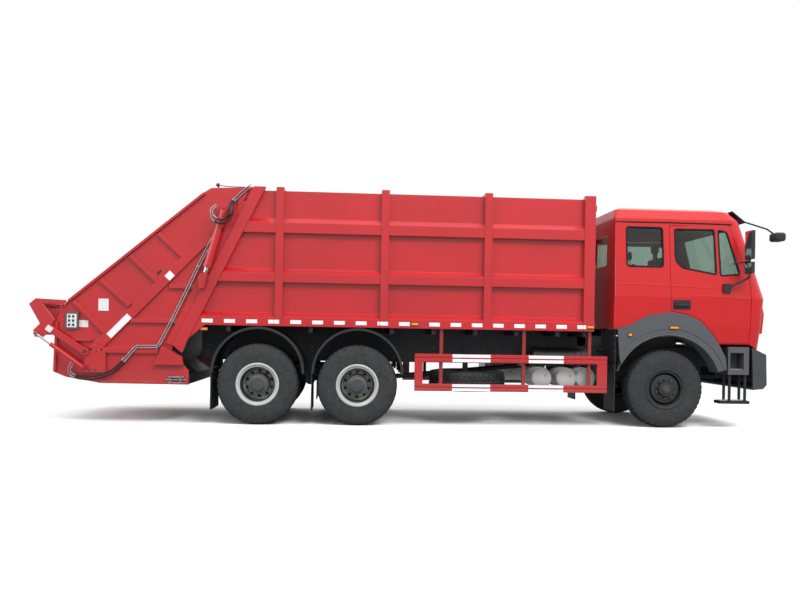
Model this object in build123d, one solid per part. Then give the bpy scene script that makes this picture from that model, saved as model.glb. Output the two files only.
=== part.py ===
from build123d import *
from math import cos, hypot, radians, sin, tan
import os

# Garbage truck with a tilting cab, a ribbed load body and a rear loading tailgate.
# Millimetres. X runs forward, Z up, and the truck's right side is at -Y.
# The origin is on the ground, at the middle of the truck's length and width.

# Wheels and axles
front_axle_x = 3630
wheelbase = 4500
rear_spread = 1400
tyre_r = 570
tyre_w = 305
rim_r = 256
front_tyre_y = 1007
rear_outer_y = 1075
rear_inner_y = 725
kingpin_y = 905
kingpin_r = 26
spindle_r = 42
rear_spindle_r = 60
shaft_gap = 0.4
engine_rear_x = 2950
rest_gap = 0.3

# Chassis
rail_out = 430
rail_flange = 80
rail_wall = 9
rail_z = 880
rail_h = 280
rail_rear_x = -3190
rail_front_x = 4920
spring_w = 90
tank_bracket_t = 40
spare_x = 780
spare_y = -610
spare_z = 634

# Load body
body_half = 1170
body_wall = 8
rib_out = 80
floor_z = 1390
panel_top_z = 3290
roof_rib_h = 50
post_top_z = panel_top_z + roof_rib_h
body_front_x = 2520
sill_h = 190
post_w = 110
front_post_w = 157

# Rear frame, tailgate and its hinge
hinge_x = -2308
hinge_z = panel_top_z + 16
hinge_pin_r = 22
post_slope = 25.7
rear_post_w = 150
post_bottom_z = floor_z - 390
moving_gap = 8
gate_half = body_half - 5
gate_wall = 10
gate_rib_out = 40
trough_x = hinge_x - 1742
trough_z = hinge_z - 1726
trough_r = 900
blade_gap = 15

# Tailgate lift cylinders
lift_y = body_half + rib_out + 55
lift_base = (hinge_x - 442, hinge_z - 296)
lift_eye = (hinge_x - 712, hinge_z - 1266)
lift_barrel_r = 55
lift_rod_r = 32

# Bin lifter
arm_pivot = (hinge_x - 2331, hinge_z - 2308)
arm_y = gate_half + 57
arm_t = 18
lifter_base = (hinge_x - 2334, hinge_z - 2528)
lifter_eye = (hinge_x - 2969, hinge_z - 2073)
lifter_y = gate_half + 110
lifter_barrel_r = 28
lifter_rod_r = 16

# Cab
cab_half = 1225
cab_rear_x = 2810
cab_wall = 45
door_gap = 6
cab_pivot_x = 5030
cab_pivot_z = 1000
glass_t = 6

mid = Align.CENTER
low = Align.MIN
rear_axle_1_x = front_axle_x - wheelbase
rear_axle_2_x = rear_axle_1_x - rear_spread
rail_top = rail_z + rail_h


def block(xs, ys, zs):
    """A box between pairs of limits along X, Y and Z."""
    centre = Pos((xs[0] + xs[1]) / 2, (ys[0] + ys[1]) / 2, (zs[0] + zs[1]) / 2)
    return centre * Box(abs(xs[1] - xs[0]), abs(ys[1] - ys[0]), abs(zs[1] - zs[0]))


def side_face(points, y):
    """A face drawn in the side view, as X and Z, at a given Y."""
    plane = Plane((0, y, 0), x_dir=(1, 0, 0), z_dir=(0, -1, 0))
    return plane * make_face(Polyline(*points, close=True))


def slab(points, ys):
    """A plate with its outline drawn in the side view, between two values of Y."""
    near, far = min(ys), max(ys)
    return extrude(side_face(points, far), amount=far - near, dir=(0, -1, 0))


def strip_points(p, q, width):
    """The corners of a straight strip of some width from p to q in the side view."""
    length = hypot(q[0] - p[0], q[1] - p[1])
    nx = -(q[1] - p[1]) / length * width / 2
    nz = (q[0] - p[0]) / length * width / 2
    return [(p[0] + nx, p[1] + nz), (q[0] + nx, q[1] + nz), (q[0] - nx, q[1] - nz), (p[0] - nx, p[1] - nz)]


def strip(p, q, width, ys):
    """A straight bar from p to q in the side view, between two values of Y."""
    return slab(strip_points(p, q, width), ys)


def across(x, z, r, ys):
    """A round bar along Y."""
    near, far = min(ys), max(ys)
    return Plane((x, near, z), z_dir=(0, 1, 0)) * Cylinder(r, far - near, align=(mid, mid, low))


def rod(p, q, r):
    """A round bar between two points."""
    run = Vector(*q) - Vector(*p)
    return Plane(p, z_dir=run) * Cylinder(r, run.length, align=(mid, mid, low))


def turned(points, x, z):
    """A ring about a wheel's axle, from a profile given as Y and radius."""
    face = Plane.YZ * make_face(Polyline(*points, close=True))
    return Pos(x, 0, z) * revolve(face, Axis.Y, 360)


def front_plate(points, xs):
    """A plate with its outline drawn in the front view, as Y and Z."""
    face = Plane((min(xs), 0, 0), x_dir=(0, 1, 0), z_dir=(1, 0, 0)) * make_face(Polyline(*points, close=True))
    return extrude(face, amount=abs(xs[1] - xs[0]), dir=(1, 0, 0))


def other_side(shape):
    """The same piece on the truck's other side."""
    return mirror(shape, Plane.XZ)


def both(shape):
    """A piece and its mirror image, as two solids."""
    return [shape, other_side(shape)]


def save(name, shapes):
    """Writes one sub-part, of one solid or of several that don't touch."""
    solids = []
    for shape in (shapes if isinstance(shapes, list) else [shapes]):
        solids.extend(shape.solids())
    export_step(Compound(children=solids) if len(solids) > 1 else solids[0], "parts/" + name + ".step")


def frame_rails():
    """Two long channel rails, open inwards."""
    web = block((rail_rear_x, rail_front_x), (-rail_out, -rail_out + rail_wall), (rail_z, rail_top))
    rail = web
    for z in (rail_z, rail_top - rail_wall):
        rail += block((rail_rear_x, rail_front_x), (-rail_out, -rail_out + rail_flange), (z, z + rail_wall))
    return both(rail)


member_z = rail_z + 80


def crossmembers():
    """Channels that tie the rails, each standing between the rails' webs."""
    inner = rail_out - rail_wall
    places = (rail_rear_x + 60, rear_axle_2_x - 500, bogie_x, rear_axle_1_x + 600, 700, 1700, 2100, 4880)
    members = []
    for x in places:
        web = block((x, x + rail_wall), (-inner, inner), (member_z, rail_top - 30))
        lip = block((x, x + 70), (-inner + rail_flange, inner - rail_flange), (member_z, member_z + rail_wall))
        members.append(web + lip + Pos(0, 0, rail_top - 30 - rail_wall - member_z) * lip)
    return members


bogie_x = (rear_axle_1_x + rear_axle_2_x) / 2


def front_axle():
    """A dropped beam with an eye for the kingpin at each end."""
    eye_h = 60
    seat_z = tyre_r - 150
    half = [(0, seat_z), (rail_out + 60, seat_z), (kingpin_y - 90, tyre_r - 40), (kingpin_y, tyre_r - 40),
            (kingpin_y, tyre_r + 40), (kingpin_y - 110, tyre_r + 40), (rail_out + 20, seat_z + 100), (0, seat_z + 100)]
    beam = front_plate(half, (front_axle_x - 45, front_axle_x + 45))
    beam += other_side(beam)
    for side in (-1, 1):
        eye = Pos(front_axle_x, side * kingpin_y, tyre_r) * Cylinder(58, 2 * eye_h)
        beam += eye
    for side in (-1, 1):
        beam -= Pos(front_axle_x, side * kingpin_y, tyre_r) * Cylinder(kingpin_r + shaft_gap, 3 * eye_h)
    return beam


def knuckle(side):
    """A steering knuckle: fork, kingpin and wheel spindle."""
    y = side * kingpin_y
    ears = []
    for z in (tyre_r + 66, tyre_r - 66 - 34):
        ear = block((front_axle_x - 50, front_axle_x + 50), (y - side * 50, y + side * 78), (z, z + 34))
        ears.append(ear)
    back = block((front_axle_x - 55, front_axle_x + 55), (y + side * 64, y + side * 90), (tyre_r - 100, tyre_r + 100))
    pin = Pos(front_axle_x, y, tyre_r) * Cylinder(kingpin_r, 200)
    spindle = across(front_axle_x, tyre_r, spindle_r, (y + side * 80, side * (front_tyre_y + 120)))
    arm = block((front_axle_x - 230, front_axle_x - 40), (y - side * 55, y - side * 22), (tyre_r - 100, tyre_r - 72))
    return ears[0] + ears[1] + back + pin + spindle + arm


def front_spring():
    """A leaf pack on the axle beam's seat, held at both ends under the rail."""
    seat_z = tyre_r - 50
    ys = (-rail_out + 5 - spring_w / 2 + 35, -rail_out + 5 + spring_w / 2 + 35)
    end_z = rail_z - 90
    leaves = []
    for share, drop in ((1.0, 0), (0.78, 1), (0.56, 2), (0.36, 3)):
        reach = 830 * share
        rise = (end_z - seat_z - 75) * share
        z = seat_z + 75 - 22 * drop
        path = [(front_axle_x - reach, z + rise), (front_axle_x, z), (front_axle_x + reach, z + rise),
                (front_axle_x + reach, z + rise + 22), (front_axle_x, z + 22), (front_axle_x - reach, z + rise + 22)]
        leaves.append(slab(path, ys))
    pack = leaves[0] + leaves[1] + leaves[2] + leaves[3]
    pack += block((front_axle_x - 70, front_axle_x + 70), ys, (seat_z, seat_z + 30))
    for end in (-1, 1):
        x = front_axle_x + end * 830
        pack += strip((x, end_z + 11), (x, rail_z), 60, ys)
        pack += across(x, end_z + 11, 32, ys)
    return pack


def bogie_spring():
    """The rear leaf pack: clamped at the trunnion and resting on both axles."""
    ys = (-rail_out - spring_w / 2 + 20, -rail_out + spring_w / 2 + 20)
    top = rail_z - 50
    reach = rear_spread / 2
    seat = tyre_r + 75 + rest_gap
    points = [(bogie_x - reach - 70, seat), (bogie_x - reach + 70, seat), (bogie_x - 160, top - 180),
              (bogie_x + 160, top - 180), (bogie_x + reach - 70, seat), (bogie_x + reach + 70, seat),
              (bogie_x + reach + 70, seat + 40), (bogie_x + 160, top), (bogie_x - 160, top),
              (bogie_x - reach - 70, seat + 40)]
    pack = slab(points, ys)
    pack += block((bogie_x - 110, bogie_x + 110), ys, (top - 20, rail_z))
    pack += across(bogie_x, top - 230, 75, (-rail_out - 60, -rail_out + 120))
    return pack


def leaf_springs():
    return both(front_spring()) + both(bogie_spring())


def rear_axle(x):
    """A driven axle: housing with its gear bowl, tapered arms and hub spindles."""
    spindle_end = rear_outer_y + 30
    housing = across(x, tyre_r, 75, (-560, 560))
    bowl = turned([(-150, 0), (-150, 120), (-60, 205), (60, 205), (150, 120), (150, 0)], x, tyre_r)
    housing += bowl
    housing += across(x, tyre_r, rear_spindle_r, (-spindle_end, spindle_end))
    nose = Plane((x + 150, 0, tyre_r + 30), z_dir=(1, 0, 0)) * Cone(120, 70, 160, align=(mid, mid, low))
    return housing + nose


def rear_axles():
    return [rear_axle(rear_axle_1_x), rear_axle(rear_axle_2_x)]


def engine():
    """The engine as one plain block at its real place."""
    return block((engine_rear_x, 4150), (-300, 300), (660, 1330))


def driveline():
    """Gearbox and the shafts to both rear axles."""
    gearbox = block((2300, engine_rear_x - rest_gap), (-190, 190), (760, 1120))
    gearbox += Plane((2200, 0, 880), z_dir=(1, 0, 0)) * Cylinder(70, 200, align=(mid, mid, low))
    shaft_end = rear_axle_1_x + 314
    front = rod((2199, 0, 880), (shaft_end, 0, tyre_r + 40), 38)
    rear = rod((rear_axle_1_x - 215, 0, tyre_r + 30), (rear_axle_2_x + 310.3, 0, tyre_r + 30), 45)
    return [gearbox, front, rear]


def fuel_tank():
    """A tank on the left rail, with two straps and its brackets."""
    xs = (1250, 2250)
    ys = (rail_out + 30, rail_out + 650)
    tank = block(xs, ys, (520, 1060))
    tank = fillet(tank.edges().filter_by(Axis.X), 70)
    for x in (1450, 1990):
        strap = block((x, x + 60), (ys[0] - 30, ys[1] + 4), (516, 1064))
        strap -= block((x - 1, x + 61), (ys[0], ys[1]), (520, 1060))
        strap = block((x, x + 60), (rail_out, ys[0] + 1), (540, 1120))
        tank += strap
    return tank


def air_tanks():
    """Three brake air tanks that lie across, hung on a bracket from the right rail."""
    z = 705
    r = 150
    hanger = (-rail_out - tank_bracket_t, -rail_out)
    bracket = block((1790, 2560), hanger, (rail_z - 20, rail_top - 60))
    tanks = bracket
    for x in (1813, 2183, 2500 - 33):
        tanks += across(x, z, r, (-rail_out - 620, -rail_out + 60))
        tanks += block((x - 25, x + 25), hanger, (z + 100, rail_z))
    return tanks


def silencer():
    """The exhaust silencer lying along the right rail, above the air tanks."""
    z = 1010
    y = -rail_out - 260
    can = rod((1750, y, z), (2560, y, z), 130)
    for x in (1750, 2540):
        can += rod((x, y, z), (x + 20, y, z), 138)
    for x in (1900, 2350):
        can += block((x, x + 60), (y, -rail_out - tank_bracket_t), (z - 20, z + 20))
    return can


def spare_wheel():
    """The spare tyre lies flat below the right rail."""
    half = tyre_w / 2
    points = [(rim_r, -half + 40), (rim_r + 40, -half + 12), (420, -half), (520, -half + 20), (tyre_r, -half + 45),
              (tyre_r, half - 45), (520, half - 20), (420, half), (rim_r + 40, half - 12), (rim_r, half - 40)]
    tyre = revolve(Plane.XZ * make_face(Polyline(*points, close=True)), Axis.Z, 360)
    return Pos(spare_x, spare_y, spare_z) * tyre


def spare_carrier():
    """The spare wheel's rim, hung by a bracket that comes down from the rail."""
    half = tyre_w / 2 - 40
    rim = Pos(spare_x, spare_y, spare_z) * Cylinder(rim_r, 2 * half)
    rim -= Pos(spare_x, spare_y, spare_z + 14) * Cylinder(rim_r - 18, 2 * half)
    hanger = block((spare_x - 40, spare_x + 40), (-rail_out - 24, -rail_out), (spare_z - half + 14, rail_top - 60))
    foot = block((spare_x - 40, spare_x + 40), (spare_y - 30, -rail_out), (spare_z - half + 14, spare_z - half + 34))
    return rim + hanger + foot


guard_x = (-61, 2730)
guard_y = (1190, 1225)
guard_top = (919, 1035)
guard_low = (504, 611)
guard_post_x = (319, 1515, 2476)


def guard_bars():
    """The upper and lower side guard rails on both sides, each with a pressed groove."""
    bars = []
    for zs in (guard_top, guard_low):
        bar = block(guard_x, guard_y, zs)
        middle = (zs[0] + zs[1]) / 2
        bar -= block((guard_x[0] - 1, guard_x[1] + 1), (guard_y[1] - 8, guard_y[1] + 1), (middle - 8, middle + 8))
        bars += both(bar)
    return bars


def guard_posts():
    """End plates between the guard rails, and the posts that hang them from the floor."""
    posts = []
    for xs in ((guard_x[0], guard_x[0] + 116), (guard_x[1] - 146, guard_x[1])):
        posts += both(block(xs, guard_y, (guard_low[1], guard_top[0])))
    for x in guard_post_x:
        posts += both(block((x - 25, x + 25), (guard_y[0] - 40, guard_y[0]), (guard_low[0] + 20, floor_z)))
    return posts


fender_r = 650
fender_z = 730
fender_y = (565, 1245)
flap_foot_z = 204
fender_foot_y = 500


def half_ring(x, z, r_out, r_in, ys):
    """The upper half of a ring about a wheel, between two values of Y."""
    ring = across(x, z, r_out, ys) - across(x, z, r_in, (ys[0] - 1, ys[1] + 1))
    return ring & block((x - r_out - 1, x + r_out + 1), (ys[0] - 2, ys[1] + 2), (z, z + r_out + 1))


def rear_fender(x):
    """A half round mudguard with rolled rims, its two carrier tubes and its flap."""
    guard = half_ring(x, fender_z, fender_r, fender_r - 8, fender_y)
    for y in (fender_y[0], fender_y[1] - 18):
        guard += half_ring(x, fender_z, fender_r, fender_r - 34, (y, y + 18))
    reach = fender_r - 26
    for end in (-1, 1):
        foot = (x + end * reach - 30, x + end * reach + 30)
        guard += across(x + end * reach, fender_z + 60, 19, (fender_foot_y, fender_y[1] - 40))
        guard += block(foot, (fender_foot_y, fender_foot_y + 12), (fender_z + 30, rail_z + 30))
        guard += block(foot, (rail_out, fender_foot_y + 12), (rail_z + 18, rail_z + 30))
        guard += block(foot, (rail_out, rail_out + 12), (rail_z + 18, rail_z + 120))
    flap = (x - fender_r, x - fender_r + 12)
    guard += block(flap, (fender_y[0] + 10, fender_y[1] - 10), (flap_foot_z, fender_z + 40))
    return guard


front_flap_x = 2850
front_flap_y = (720, 1200)


def front_mudguard():
    """The ribbed panel and flap that hang behind a front wheel."""
    xs = (front_flap_x, front_flap_x + 12)
    panel = block(xs, front_flap_y, (815, 1423))
    for i in range(5):
        z = 870 + i * 110
        panel += block((xs[0] - 14, xs[0]), (front_flap_y[0] + 20, front_flap_y[1] - 20), (z, z + 40))
    panel += block(xs, (front_flap_y[0] + 15, front_flap_y[1] - 15), (235, 815))
    panel += across(front_flap_x + 6, 1100, 22, (rail_out, front_flap_y[0] + 10))
    return panel


def mudguards():
    parts = both(front_mudguard())
    for x in (rear_axle_1_x, rear_axle_2_x):
        parts += both(rear_fender(x))
    return parts


bumper_half = 1190
tow_x = 5170
tow_z = 800
tow_r = 20
bumper_points = [(4909, 1193), (5002, 1150), (5125, 1093), (5140, 651), (5088, 591), (4935, 574)]
bumper_inner = [(4860, 1230), (4985, 1118), (5092, 1068), (5105, 665), (5070, 624), (4860, 606)]


def front_bumper():
    """A deep hollow bumper with lamp pockets, held by two arms on the rail ends."""
    bumper = slab(bumper_points, (-bumper_half, bumper_half))
    bumper -= slab(bumper_inner, (-bumper_half + 35, bumper_half - 35))
    for side in (-1, 1):
        lamp = block((5106, 5200), (side * 640, side * 1080), (780, 985))
        bumper -= lamp
        bumper += block((5096, 5112), (side * 620, side * 1100), (760, 1005))
    bumper -= block((5040, 5200), (-430, 430), (800, 960))
    bumper += block((5088, 5104), (-440, 440), (790, 970))
    for side in (-1, 1):
        arm = block((rail_front_x - 200, 5099), (side * rail_out, side * (rail_out + 20)), (700, 860))
        arm += block((rail_front_x - 200, rail_front_x), (side * rail_out, side * (rail_out + 20)), (700, rail_z + 120))
        bumper += arm
        bumper -= block((4850, 5200), (side * 305, side * 375), (1025, 1300))
    jaw = block((5095, tow_x + 35), (-50, 50), (tow_z, tow_z + 22))
    jaw += Pos(0, 0, 80) * jaw
    bumper += jaw
    return bumper - Pos(tow_x, 0, tow_z + 40) * Cylinder(tow_r, 300)


step_x = (4530, 4844)
step_y = (1000, 1228)
step_z = (797, 1202)
low_step_z = 367


def cab_step():
    """The entry step: a box with an open recess, and a low step hung below it."""
    box = block(step_x, step_y, step_z)
    box -= block((step_x[0] + 30, step_x[1] - 77), (step_y[0] + 30, step_y[1] + 1), (step_z[0] + 72, step_z[1] - 87))
    box += block((4600, 4700), (rail_out, step_y[0]), (900, 980))
    low_xs = (4422, 4878)
    low_ys = (step_y[0] + 20, step_y[1] - 28)
    tread = block(low_xs, low_ys, (low_step_z, low_step_z + 45))
    tread -= block((low_xs[0] + 30, low_xs[1] - 30), (low_ys[0] + 25, low_ys[1] - 25),
                   (low_step_z - 1, low_step_z + 37))
    box += tread
    for x in (step_x[0] + 20, step_x[1] - 60):
        box += block((x, x + 40), (low_ys[0], low_ys[0] + 12), (low_step_z + 40, step_z[0] + 1))
        box += block((x, x + 40), (low_ys[1] - 12, low_ys[1]), (low_step_z + 40, step_z[0] + 1))
    return box


def cab_mounts():
    """The cab's front pivot tube on the rail ends, and its two rear rests."""
    tube = across(cab_pivot_x, cab_pivot_z, 25, (-rail_out, rail_out))
    for side in (-1, 1):
        cheek = strip((rail_front_x - 120, cab_pivot_z), (cab_pivot_x, cab_pivot_z), 90,
                      (side * (rail_out - 28), side * (rail_out - 10)))
        tube += cheek
        tube += across(cab_pivot_x, cab_pivot_z, 45, (side * (rail_out - 28), side * (rail_out - 10)))
    mounts = [tube]
    for side in (-1, 1):
        mounts.append(block((cab_rear_x + 110, cab_rear_x + 190), (side * (rail_out - 80), side * rail_out),
                            (rail_top, cab_floor_z - 0.3)))
    return mounts


cab_floor_z = 1440


rise = tan(radians(post_slope))
post_top_x = hinge_x + 112
post_reach = rear_post_w / cos(radians(post_slope))
floor_t = 10
bearer_x = (-3150, -2720, -1570, -420, 180, 780, 1380, 1980, 2380)
side_post_x = (-2047, -566, 910)
rib_levels = ((panel_top_z - 380, panel_top_z - 590), (floor_z + 810, floor_z + 615), (floor_z + sill_h, floor_z))


def post_front(z):
    """X of the slanted rear post's front edge at a height."""
    return post_top_x - (post_top_z - z) * rise


def gate_front(z):
    """X of the tailgate's front edge at a height, just behind the rear post."""
    return post_front(z) - post_reach - moving_gap


def body_floor():
    """The floor plate on two long beams and its cross bearers."""
    inner = body_half - body_wall
    plate_rear = post_front(floor_z) - 120
    floor = block((plate_rear, body_front_x - body_wall), (-inner, inner), (floor_z, floor_z + floor_t))
    for side in (-1, 1):
        floor += block((rail_rear_x, body_front_x), (side * (rail_out - rail_flange), side * rail_out),
                       (rail_top, floor_z))
    for x in bearer_x:
        floor += block((x, x + 60), (-inner, inner), (floor_z - 80, floor_z))
    return floor


def side_rib(top, bottom):
    """A pressed rib along the side: sloped on top, so that nothing lies on it."""
    out = body_half + rib_out - 10
    points = [(body_half, top), (out, top - 65), (out, bottom), (body_half, bottom)]
    return front_plate(points, (post_front(bottom) - 60, body_front_x - 20))


def body_side():
    """A side wall with its upright posts and three long ribs, cut to the slanted rear post."""
    edge = [(post_front(floor_z) - 50, floor_z), (body_front_x, floor_z), (body_front_x, panel_top_z),
            (post_front(panel_top_z) - 50, panel_top_z)]
    side = slab(edge, (body_half - body_wall, body_half))
    ribs = side_rib(*rib_levels[0]) + side_rib(*rib_levels[1]) + side_rib(*rib_levels[2])
    outer = (body_half, body_half + rib_out)
    for x in side_post_x:
        ribs += block((x, x + post_w), outer, (floor_z, post_top_z))
    ribs += block((body_front_x - front_post_w, body_front_x), outer, (floor_z, post_top_z))
    behind = [(post_front(0), 0), (post_front(4000), 4000), (-6000, 4000), (-6000, 0)]
    ribs -= slab(behind, (body_half - 1, body_half + rib_out + 1))
    gusset_z = floor_z - sill_h
    gusset = [(post_front(floor_z), floor_z), (post_front(gusset_z), gusset_z), (post_front(floor_z) + 130, floor_z)]
    ribs += slab(gusset, (body_half + 10, body_half + rib_out - 10))
    return side + ribs


def body_sides():
    side = body_side()
    return [side, other_side(side)]


roof_rear_x = hinge_x + 83


def body_roof():
    """The roof sheet with a hat rib over each pair of side posts."""
    roof = block((roof_rear_x, body_front_x), (-body_half, body_half), (panel_top_z, panel_top_z + body_wall))
    for x in side_post_x + (body_front_x - post_w,):
        roof += block((x, x + post_w), (-body_half, body_half), (panel_top_z + body_wall, post_top_z))
    return roof


def body_front_wall():
    """The wall behind the cab, with three upright stiffeners."""
    inner = body_half - body_wall
    wall = block((body_front_x - body_wall, body_front_x), (-inner, inner), (floor_z, panel_top_z))
    for y in (-720, 0, 720):
        wall += block((body_front_x, body_front_x + 60), (y - 45, y + 45), (floor_z + 60, panel_top_z - 60))
    for z in (floor_z + 60, 2300, panel_top_z - 140):
        wall += block((body_front_x, body_front_x + 60), (-inner + 60, inner - 60), (z, z + 80))
    return wall


ear_r = 38
ear_y = (gate_half - 99, gate_half - 15)
bracket_z = (lift_eye[1] - 150, lift_eye[1] + 100)


def rear_frame():
    """The slanted rear posts with the cylinder brackets and hinge pins, and the header between them."""
    points = [(post_front(post_top_z), post_top_z), (post_front(post_bottom_z), post_bottom_z),
              (post_front(post_bottom_z + 100) - post_reach, post_bottom_z + 100),
              (post_front(post_top_z) - post_reach, post_top_z)]
    face = body_half + rib_out
    post = slab(points, (body_half, face))
    post += across(hinge_x, hinge_z, hinge_pin_r, (ear_y[0] - 26, body_half + 10))
    ex, ez = lift_eye
    for y in (face, lift_y + 37):
        ear = [(ex + 62, bracket_z[1]), (ex - 40, ez + 55), (ex - 75, ez), (ex - 60, bracket_z[0]),
               (ex + 10, bracket_z[0])]
        post += slab(ear, (y, y + 14))
    post += slab([(ex - 60, bracket_z[0]), (ex + 10, bracket_z[0]), (ex + 16, bracket_z[0] + 45),
                  (ex - 62, bracket_z[0] + 45)], (face, lift_y + 51))
    header_z = (panel_top_z - 120, panel_top_z)
    inner = body_half - body_wall
    header = block((roof_rear_x, roof_rear_x + 115), (-inner, inner), header_z)
    for side in (-1, 1):
        ys = (side * (ear_y[0] - 26), side * (ear_y[0] - 8))
        header += strip((roof_rear_x + 40, hinge_z - 60), (hinge_x, hinge_z), 2 * ear_r, ys)
        header += across(hinge_x, hinge_z, ear_r, ys)
        header -= across(hinge_x, hinge_z, hinge_pin_r + shaft_gap, (side * 1000, side * inner))
        header -= block((roof_rear_x - 1, roof_rear_x + 200), (-inner, inner), (panel_top_z, panel_top_z + 100))
    return [post, other_side(post), header]


def gate(points):
    """Points given from the tailgate's hinge, as X and Z of the truck."""
    return [(hinge_x + dx, hinge_z + dz) for dx, dz in points]


gate_edge = [(-650, 8), (-757, -60), (-2580, -1600), (-2675, -1735), (-2740, -1881), (-2762, -2601),
             (-2599, -2668), (-2137, -2746), (-919, -2758), (-922, -2562), (-993, -2479), (-1008, -2366)]
guide_top, guide_end = gate([(-334, -124), (-2217, -2266)])
guide_len = hypot(guide_end[0] - guide_top[0], guide_end[1] - guide_top[1])
guide_dx = (guide_end[0] - guide_top[0]) / guide_len
guide_dz = (guide_end[1] - guide_top[1]) / guide_len
guide_half = 60
mouth_top = (-1754, -906)
gate_top_z = hinge_z + 35


def along(distance, offset=0):
    """A point up the guide from the blade's pivot, and off it towards the slanted back."""
    return (trough_x - distance * guide_dx + offset * guide_dz, trough_z - distance * guide_dz - offset * guide_dx)


def gate_rib(p, q, width):
    """A raised rib on the tailgate's side, between points given from the hinge."""
    a, b = gate([p, q])
    return strip(a, b, width, (gate_half, gate_half + gate_rib_out))


def tailgate_side():
    """A tailgate side: outer plate, ribs, pivot box, cylinder pin and the carriage's inner guides."""
    low_z = hinge_z - 2211
    front_low = gate_front(low_z)
    edge = [(gate_front(gate_top_z), gate_top_z)] + gate(gate_edge)
    edge += [(front_low - 10, low_z - 65), (front_low, low_z)]
    side = slab(edge, (gate_half - gate_wall, gate_half))
    ribs = gate_rib((-500, -500), (-2222, -2300), 129)
    for p, q in (((-1359, -653), (-1020, -969)), ((-1742, -971), (-1360, -1332)),
                 ((-2133, -1314), (-1735, -1664)), ((-2488, -1622), (-2050, -2062))):
        ribs += gate_rib(p, q, 60)
    for z, front, rear, width in ((-1385, -765, -1200, 62), (-1872, -1080, -1720, 62), (-2288, -1344, -2100, 80),
                                  (-2158, -2240, -2560, 20)):
        ribs += gate_rib((front, z), (rear, z), width)
    ribs += slab(gate([(-140, 20), (-344, -10), (-575, -250), (-560, -380), (-400, -383), (-165, -125)]),
                 (gate_half, gate_half + gate_rib_out + 5))
    rib_ends = [(gate_front(hinge_z - drop) - 55 - hinge_x, -drop) for drop in (156, 2196)]
    ribs += gate_rib(rib_ends[0], rib_ends[1], 100)
    ribs += gate_rib((-745, -75), (-2568, -1614), 34)
    ribs += gate_rib((-2722, -1900), (-2742, -2590), 34)
    ribs += gate_rib((-2137, -2728), (-930, -2738), 36)
    block_edge = gate([(-1288, -2224), (-1008, -2362), (-990, -2484), (-1392, -2483)])
    ribs += slab(block_edge, (gate_half, gate_half + 60))
    pivot_box = gate([(-2294, -2301), (-2052, -2297), (-2047, -2601), (-2383, -2606)])
    ribs += slab(pivot_box, (gate_half, arm_y - 6))
    side += ribs
    side += across(arm_pivot[0], arm_pivot[1], 24, (gate_half, arm_y + arm_t + 3))
    side += across(lifter_base[0], lifter_base[1], 16, (gate_half, lifter_y + lifter_barrel_r + 8))
    tx, tz = lift_base
    side += across(tx, tz, 62, (gate_half, gate_half + gate_rib_out + 10))
    side += across(tx, tz, 22, (gate_half, lift_y + 34))
    for offset in (guide_half + 8, -guide_half - 8):
        side += strip(along(1750, offset), along(0, offset), 14, (gate_half - gate_wall - 30, gate_half - gate_wall))
    ends = [(gate_front(hinge_z - drop) - 48, hinge_z - drop) for drop in (156, 1886)]
    post = strip(ends[0], ends[1], 80,
                 (gate_half - gate_wall - 60, gate_half - gate_wall))
    return side + post


def tailgate_sides():
    side = tailgate_side()
    return [side, other_side(side)]


def tailgate_back():
    """The closed upper back: one folded sheet, its two cross beams and the hinge ears."""
    inner = gate_half - gate_wall
    top_front = gate_front(gate_top_z) - hinge_x
    sheet = gate([(top_front, 35), (-650, 8), (-757, -60), mouth_top, (mouth_top[0] + 6, mouth_top[1] - 8),
                  (-751, -68), (-647, -2), (top_front, 25)])
    back = slab(sheet, (-inner, inner))
    lip = gate([mouth_top, (mouth_top[0] + 92, mouth_top[1] + 76), (mouth_top[0] + 160, mouth_top[1] - 6),
                (mouth_top[0] + 68, mouth_top[1] - 82)])
    back += slab(lip, (-inner, inner))
    back += slab(gate([(-150, 31), (-150, -90), (-250, -90), (-250, 26)]), (-inner, inner))
    for side in (-1, 1):
        ys = (side * ear_y[0], side * ear_y[1])
        ear = strip(gate([(-200, -20)])[0], (hinge_x, hinge_z), 2 * ear_r, ys)
        ear += across(hinge_x, hinge_z, ear_r, ys)
        back += ear
    for side in (-1, 1):
        back -= across(hinge_x, hinge_z, hinge_pin_r + shaft_gap, (side * 1040, side * 1160))
    return back


def polar(r, angle):
    """A point around the blade's pivot, by radius and angle from +X towards +Z."""
    return (trough_x + r * cos(radians(angle)), trough_z + r * sin(radians(angle)))


def hopper_trough():
    """The curved hopper floor, the ramp into the body, the rear sill and the lower cross beam."""
    inner = gate_half - gate_wall
    ys = (-inner, inner)
    shell = across(trough_x, trough_z, trough_r + 10, ys) - across(trough_x, trough_z, trough_r, (-inner - 1, inner + 1))
    shell &= slab([(trough_x, trough_z), polar(2000, 210), polar(2000, 260), polar(2000, 310)], ys)
    ramp_foot = polar(trough_r + 5, 310)
    shell += strip(ramp_foot, (gate_front(floor_z - 5) - 6, floor_z - 5), 10, ys)
    sill_x = hinge_x - 2750
    sill_z = hinge_z - 2600
    shell += slab([(sill_x, sill_z + 424), (sill_x, sill_z), (sill_x + 73, sill_z - 6), polar(trough_r + 8, 214),
                   polar(trough_r + 1, 210)], ys)
    shell += block((hinge_x - 1060, hinge_x - 930), ys, (hinge_z - 2754, hinge_z - 2616))
    beam_z = hinge_z - 2616
    web = slab([polar(trough_r + 9, 296), polar(trough_r + 9, 309), (hinge_x - 930, beam_z), (hinge_x - 1050, beam_z)],
               (-500, 500))
    return shell + web


lift_run = (lift_eye[0] - lift_base[0], lift_eye[1] - lift_base[1])
lift_len = hypot(*lift_run)
lift_barrel_len = 860


def on_lift(distance):
    """A point on the lift cylinder's line, by its distance from the upper pin."""
    share = distance / lift_len
    return (lift_base[0] + lift_run[0] * share, lift_y, lift_base[1] + lift_run[1] * share)


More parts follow.
